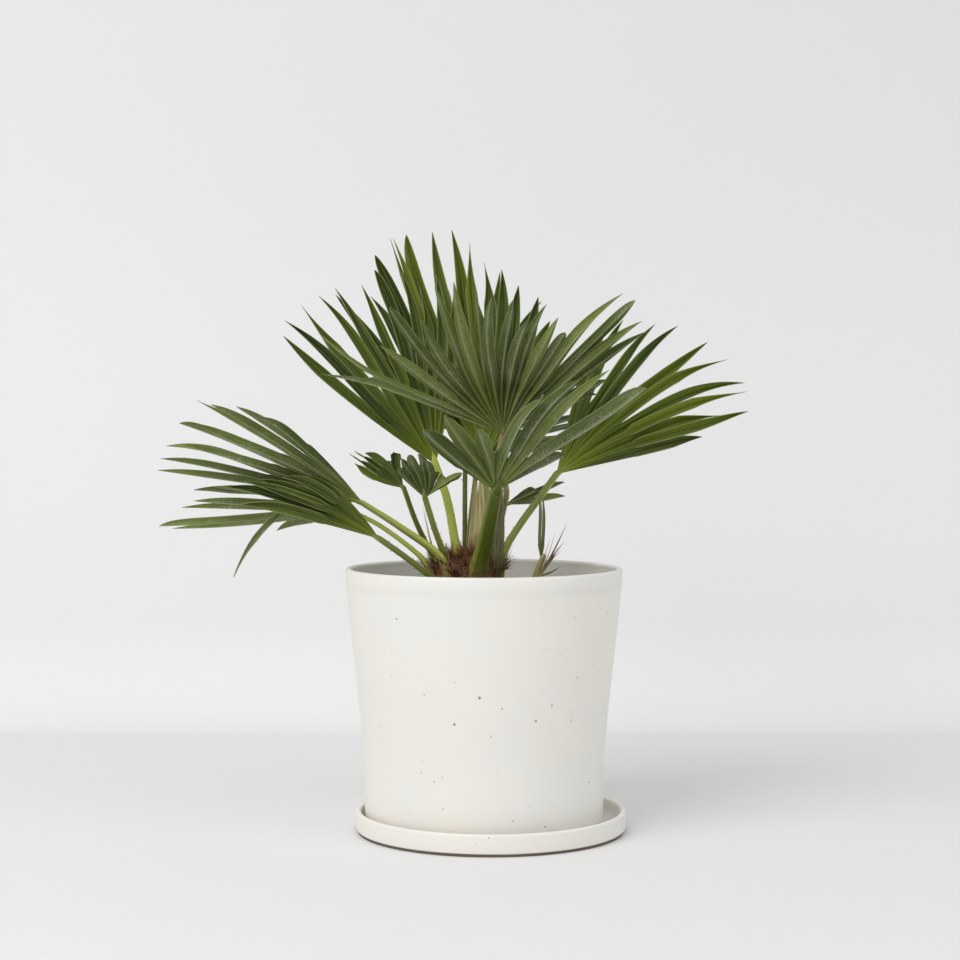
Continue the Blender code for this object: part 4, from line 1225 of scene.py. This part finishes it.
def makeCrown(values, draw):
    x, y = values["place"]
    inner = values["coreShare"]
    outline = [(values["radius"] * share * inner,
                crownHeight(values["radius"] * share, values) - values["coreDrop"])
               for share in np.linspace(0, 1, 14)]
    outline += [(values["radius"] * inner, values["top"] - 0.043), (values["neck"], 0.2150),
                (values["neck"], values["foot"]), (0.0, values["foot"])]
    core = turnedPiece("core", outline, x, 72)
    place = points(core)
    for spot in place:
        if spot[2] > 0.214:
            out = Vector((spot[0] - x, spot[1] - y, 0.02)).normalized()
            rise = noise.noise(Vector(spot) * 90) + 0.7 * noise.noise(Vector(spot) * 260)
            spot += np.array(out) * values["lumps"] * rise
    setPoints(core, place)
    keepNumbers(core, "fibreData", (0.35, 0, 0, 1))
    grid, uv = addGrid("fibreGrid", 3, 6)
    strands = []

    def grow(start, heading, length, thick, tint, curl):
        strands.append(strand(grid, uv, start, heading, length, thick, draw, tint, curl))

    def fibre(share=1.0):
        return draw.uniform(*values["fibreRadius"]) * share

    golden = math.pi * (3 - math.sqrt(5))
    for k in range(values["tufts"]):
        turn = k * golden
        reach = values["radius"] * 0.9 * math.sqrt((k + 0.5) / values["tufts"])
        for _ in range(values["perTuft"]):
            spot = (x + reach * math.cos(turn) + draw.gauss(0, 0.0018),
                    y + reach * math.sin(turn) + draw.gauss(0, 0.0018),
                    crownHeight(reach, values) - values["coreDrop"] - 0.006)
            lean = 0.25 + 0.6 * reach / values["radius"]
            heading = (math.cos(turn) * lean, math.sin(turn) * lean, 1.0)
            grow(spot, heading, draw.uniform(*values["tuftLength"]), fibre(1.2),
                 draw.random() ** 1.4, 0.16)
    for _ in range(values["loose"]):
        turn = draw.random() * math.tau
        reach = values["radius"] * (0.55 + 0.5 * draw.random())
        low = min(reach, values["radius"])
        drop = max(0.0, reach - values["radius"]) * 3
        spot = (x + low * inner * math.cos(turn), y + low * inner * math.sin(turn),
                crownHeight(low, values) - values["coreDrop"] - drop - draw.random() * 0.012)
        way = turn + draw.gauss(0, 0.7)
        heading = (math.cos(way), math.sin(way), draw.uniform(0.0, 2.2))
        grow(spot, heading, draw.uniform(*values["looseLength"]), fibre(), draw.random(), 0.22)
    for spot, wide, length, count in values["tallTufts"]:
        for _ in range(count):
            start = [value / 1000 + draw.gauss(0, wide / 2000) for value in spot]
            heading = (draw.gauss(0, 0.22), draw.gauss(0, 0.22), 1.0)
            grow(start, heading, length / 1000 * draw.uniform(0.5, 1.1), fibre(1.3), draw.random(),
                 0.22)
    for frond in fronds.values():
        route = smoothRoute(frond["stalk"], stalkValues["rows"])
        foot, ahead = along(route, 0.10), along(route, 0.30)
        thick = frond["radius"][0] / 1000 * 1.2
        for _ in range(values["climbing"]):
            turn = draw.random() * math.tau
            off = np.array([math.cos(turn), math.sin(turn), 0]) * thick
            heading = unit(ahead - foot) + off / thick * 0.12
            grow(foot + off, heading, draw.uniform(*values["climbLength"]), fibre(), draw.random(), 0.12)
    for foot, tip in values["dryTips"]:
        foot, tip = np.array(foot) / 1000, np.array(tip) / 1000
        length = float(np.linalg.norm(tip - foot))
        grow(foot, (tip - foot) / length, length, values["dryTipRadius"], 0.95, 0.02)
    bpy.data.objects.remove(grid)
    return joined("crown_fibrous", [core, *strands])


crown = makeCrown(crownValues, random.Random(5))
paint(crown, fibreMaterial(crownValues))
closeMesh(crown, 60)
handIn(crown, "crown_fibre", "crown")
print("crown made")


# two strips of dry sheath
sheathValues = {
    "sheath_tan": dict(route=[(-15, -5, 233), (-14, -6, 262), (-12, -7, 292), (-11, -7, 326)],
                       width=15, side=(1, 0.15, 0), light=(0.76, 0.69, 0.36), dark=(0.34, 0.26, 0.10)),
    "sheath_grey": dict(route=[(4, -14, 233), (7, -23, 262), (9, -34, 292), (11, -43, 322)],
                        width=10, side=(1, -0.2, 0), light=(0.34, 0.32, 0.17), dark=(0.08, 0.09, 0.025)),
}


def sheathMaterial(name, light, dark):
    material, tree, shader = startMaterial(name, 0.75)
    streak = useGroup(tree, streakGroup, Across=26.0, Along=1.6, Shift=0.3)
    colour = mixColours(tree, ramp(tree, streak["Streak"], 0.32, 0.62), dark, light)
    colour = layOver(tree, colour, dark, ramp(tree, streak["Fine"], 0.5, 0.72), 0.5)
    rough = timesPlus(tree, streak["Fine"], 0.3, 0.6)
    height = calc(tree, "ADD", streak["Streak"], streak["Fine"])
    finishMaterial(tree, shader, colour, rough, height, 0.8, 0.0007)
    return material


def makeSheath(name, values, draw):
    columns, rows = 11, 30
    strip, uv = addGrid(name + "_fine", columns, rows)
    route = smoothRoute(values["route"], rows + 1)
    side = unit(np.array(values["side"], float))
    facing = unit(np.cross(side, (0, 0, 1)))
    ends = [draw.uniform(0.72, 1.0) for _ in range(columns + 1)]
    column = np.round(uv[:, 0] * columns).astype(int)
    reach = np.array(ends)[column] * uv[:, 1]
    off = uv[:, 0] * 2 - 1
    narrow = 1 - 0.62 * np.clip((uv[:, 1] - 0.45) / 0.55, 0, 1) ** 1.6
    half = values["width"] / 2000
    ripple = 0.0005 * np.sin(off * 9 + uv[:, 1] * 5)
    place = along(route, reach) + side * (off * half * narrow)[:, None]
    place += facing * (half * 0.3 * off ** 2 + ripple)[:, None]
    setPoints(strip, place)
    # slits between the fibres near the torn end
    def slit(edge):
        a, b = (vertex.index for vertex in edge.verts)
        start = 0.5 + 0.4 * ((column[a] * 5) % 7) / 7
        inside = column[a] == column[b] and 0 < column[a] < columns
        return bool(inside and min(uv[a, 1], uv[b, 1]) > start)

    bpy.ops.object.mode_set(mode="EDIT")
    splitEdges(strip, slit)
    editEnd()
    paint(strip, sheathMaterial(name + "Straw", values["light"], values["dark"]))
    applyModifier(strip, "SOLIDIFY", thickness=0.0006, offset=0.0)
    bpy.ops.object.shade_smooth_by_angle(angle=math.radians(40))
    return strip


for number, (name, values) in enumerate(sheathValues.items()):
    handIn(makeSheath(name, values, random.Random(20 + number)), "dry_sheath", name)
print("dry sheaths made")


# the young sucker
suckerValues = {
    "route": [(38, 2, 196), (40, 1, 225), (43, 0, 240), (49, 0, 254)],
    "radii": (0.0034, 0.0026),
    "spikeFoot": (45.5, -1, 236),
    "spikes": [(71, -3, 286), (69, 1, 268), (65, -4, 245), (65, 3, 259)],
    "extraSpikes": [(60, -8, 278), (56, 4, 272), (62, -9, 262), (52, -10, 262)],
    "spikeRadius": 0.0012,
    "dark": (0.20, 0.19, 0.06),
    "yellow": (0.50, 0.47, 0.20),
    "withered": (0.17, 0.070, 0.055),
    "rust": (0.20, 0.085, 0.050),
}
suckerFrond = dict(axis=(-97, 87, 0), spread=(-6, 6), split=14, width=2.6, radius=(3.0, 2.6),
                   leaflets=[(-1.2, 67), (1.2, 62)], tips="aa", tone=0.1)


def makeSucker(values, frond):
    route = smoothRoute(values["route"], 16)
    reach = unit(route[-1] - route[-2])
    route = np.vstack([route[0], route, route[-1] + reach * 0.002, route[-1] + reach * 0.002])
    radius = np.concatenate([[0], np.linspace(*values["radii"], 16), [values["radii"][1] * 0.6, 0]])
    grid, uv = addGrid("suckerGrid", 12, len(route) - 1)
    share = uv[:, 1]
    facing = (0, -1, 0.2)
    items = [copyOf(grid, rolled(uv, route, radius, facing),
                    stalkData=(0.35 + share * 0.6, 0.65, 0.15, 0.4))]
    bpy.data.objects.remove(grid)
    thin, thinUV = addGrid("thinGrid", 4, 12)
    foot = np.array(values["spikeFoot"]) / 1000
    for number, tip in enumerate(values["spikes"] + values["extraSpikes"]):
        tip = np.array(tip) / 1000
        size = 1.0 if number < len(values["spikes"]) else 0.45
        share = np.linspace(0, 1, 13)
        bend = np.sin(math.pi * share)[:, None] * 0.0012 * (-1) ** number
        line = foot + (tip - foot) * share[:, None] + np.array([0.4, 0.2, -1.0]) * bend
        thick = values["spikeRadius"] * size * (1 - share ** 1.5)
        reddish = thinUV[:, 1] ** 0.6 * 1.3
        items.append(copyOf(thin, rolled(thinUV, line, thick, facing),
                            stalkData=(0.9, 1 - reddish * 0.8, reddish, 0.1 * number)))
    bpy.data.objects.remove(thin)
    sheath = joined("sucker_sheath_fine", items)
    paint(sheath, stalkMaterial("suckerSheath", values))
    closeMesh(sheath, 50)
    leafFoot = route[-3] - reach * 0.0055
    axes = bladeAxes(*frond["axis"])
    draw = random.Random(90)
    fused = bladeValues["fusedRows"]
    leaflets = [layLeaflet(frond, axes, i, (fused, fused), draw) for i in (0, 1)]
    leaf = joinLeaflets("sucker_leaf_fine", leaflets, leafFoot)
    thicken(leaf)
    return sheath, leaf


suckerSheath, suckerLeaf = makeSucker(suckerValues, suckerFrond)
handIn(suckerSheath, "sucker_sheath_green", "sucker_sheath")
handIn(suckerLeaf, "leaf_green", "sucker_leaf")
for master, _, _ in leafletMasters.values():
    bpy.data.objects.remove(master)
bpy.data.objects.remove(stalkGrid)
bpy.data.objects.remove(spine)
print("sucker made")


# floor and backdrop

def paperMaterial(name, colour, paintedShadeTop):
    material, tree, shader = startMaterial(name, 0.9, 0.2)
    feed(tree, shader.inputs["Base Color"], colour)
    if paintedShadeTop:
        # the wall is painted darker towards its top, a painted shade
        place = objectPlace(tree)
        height = addNode(tree, "ShaderNodeSeparateXYZ", Vector=place).outputs["Z"]
        colour = mixColours(tree, ramp(tree, height, 0.25, 1.0), colour, paintedShadeTop)
        feed(tree, shader.inputs["Base Color"], colour)
        # views from behind the paper look through it
        clear = tree.nodes.new("ShaderNodeBsdfTransparent")
        mix = tree.nodes.new("ShaderNodeMixShader")
        back = tree.nodes.new("ShaderNodeNewGeometry").outputs["Backfacing"]
        tree.links.new(back, mix.inputs[0])
        tree.links.new(shader.outputs[0], mix.inputs[1])
        tree.links.new(clear.outputs[0], mix.inputs[2])
        tree.links.new(mix.outputs[0], tree.nodes["Material Output"].inputs["Surface"])
    return material


def makeBackdrop(values):
    bpy.ops.mesh.primitive_plane_add(size=14)
    floor = bpy.context.object
    floor.name = "paperFloor"
    paint(floor, paperMaterial("floorPaper", values["floorColour"], None))
    # a narrow strip, extruded back and up along a quarter circle and on up the wall
    bpy.ops.mesh.primitive_plane_add(size=2, location=(0, 0, 0))
    wall = bpy.context.object
    wall.name = "paperWall"
    editAll()
    bpy.ops.transform.resize(value=(2.2, 0.01, 1))
    bpy.ops.transform.translate(value=(0, values["wallPlace"] - 0.01, 0.0004))
    selectPoints(wall, lambda place: place.y > values["wallPlace"] - 0.001)
    radius = values["sweepRadius"]
    steps = 16
    for k in range(steps):
        a, b = math.pi / 2 * k / steps, math.pi / 2 * (k + 1) / steps
        step = (0, radius * (math.sin(b) - math.sin(a)), radius * (math.cos(a) - math.cos(b)))
        bpy.ops.mesh.extrude_edges_move(TRANSFORM_OT_translate={"value": step})
    bpy.ops.mesh.extrude_edges_move(TRANSFORM_OT_translate={"value": (0, 0, values["wallHeight"])})
    editEnd()
    up = sum(face.normal.z * face.area + -face.normal.y * face.area for face in wall.data.polygons)
    if up < 0:
        flipFaces()
    bpy.ops.object.shade_smooth()
    paint(wall, paperMaterial("wallPaper", values["wallColour"], values["wallTopPaintedShade"]))
    floor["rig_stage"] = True
    wall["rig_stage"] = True


makeBackdrop(studio)
print("studio made")

triangles = 0
for item in bpy.data.objects:
    if item.type == "MESH" and not item.hide_render and not item.get("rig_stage"):
        triangles += sum(len(face.vertices) - 2 for face in item.data.polygons)
print("triangles:", triangles)
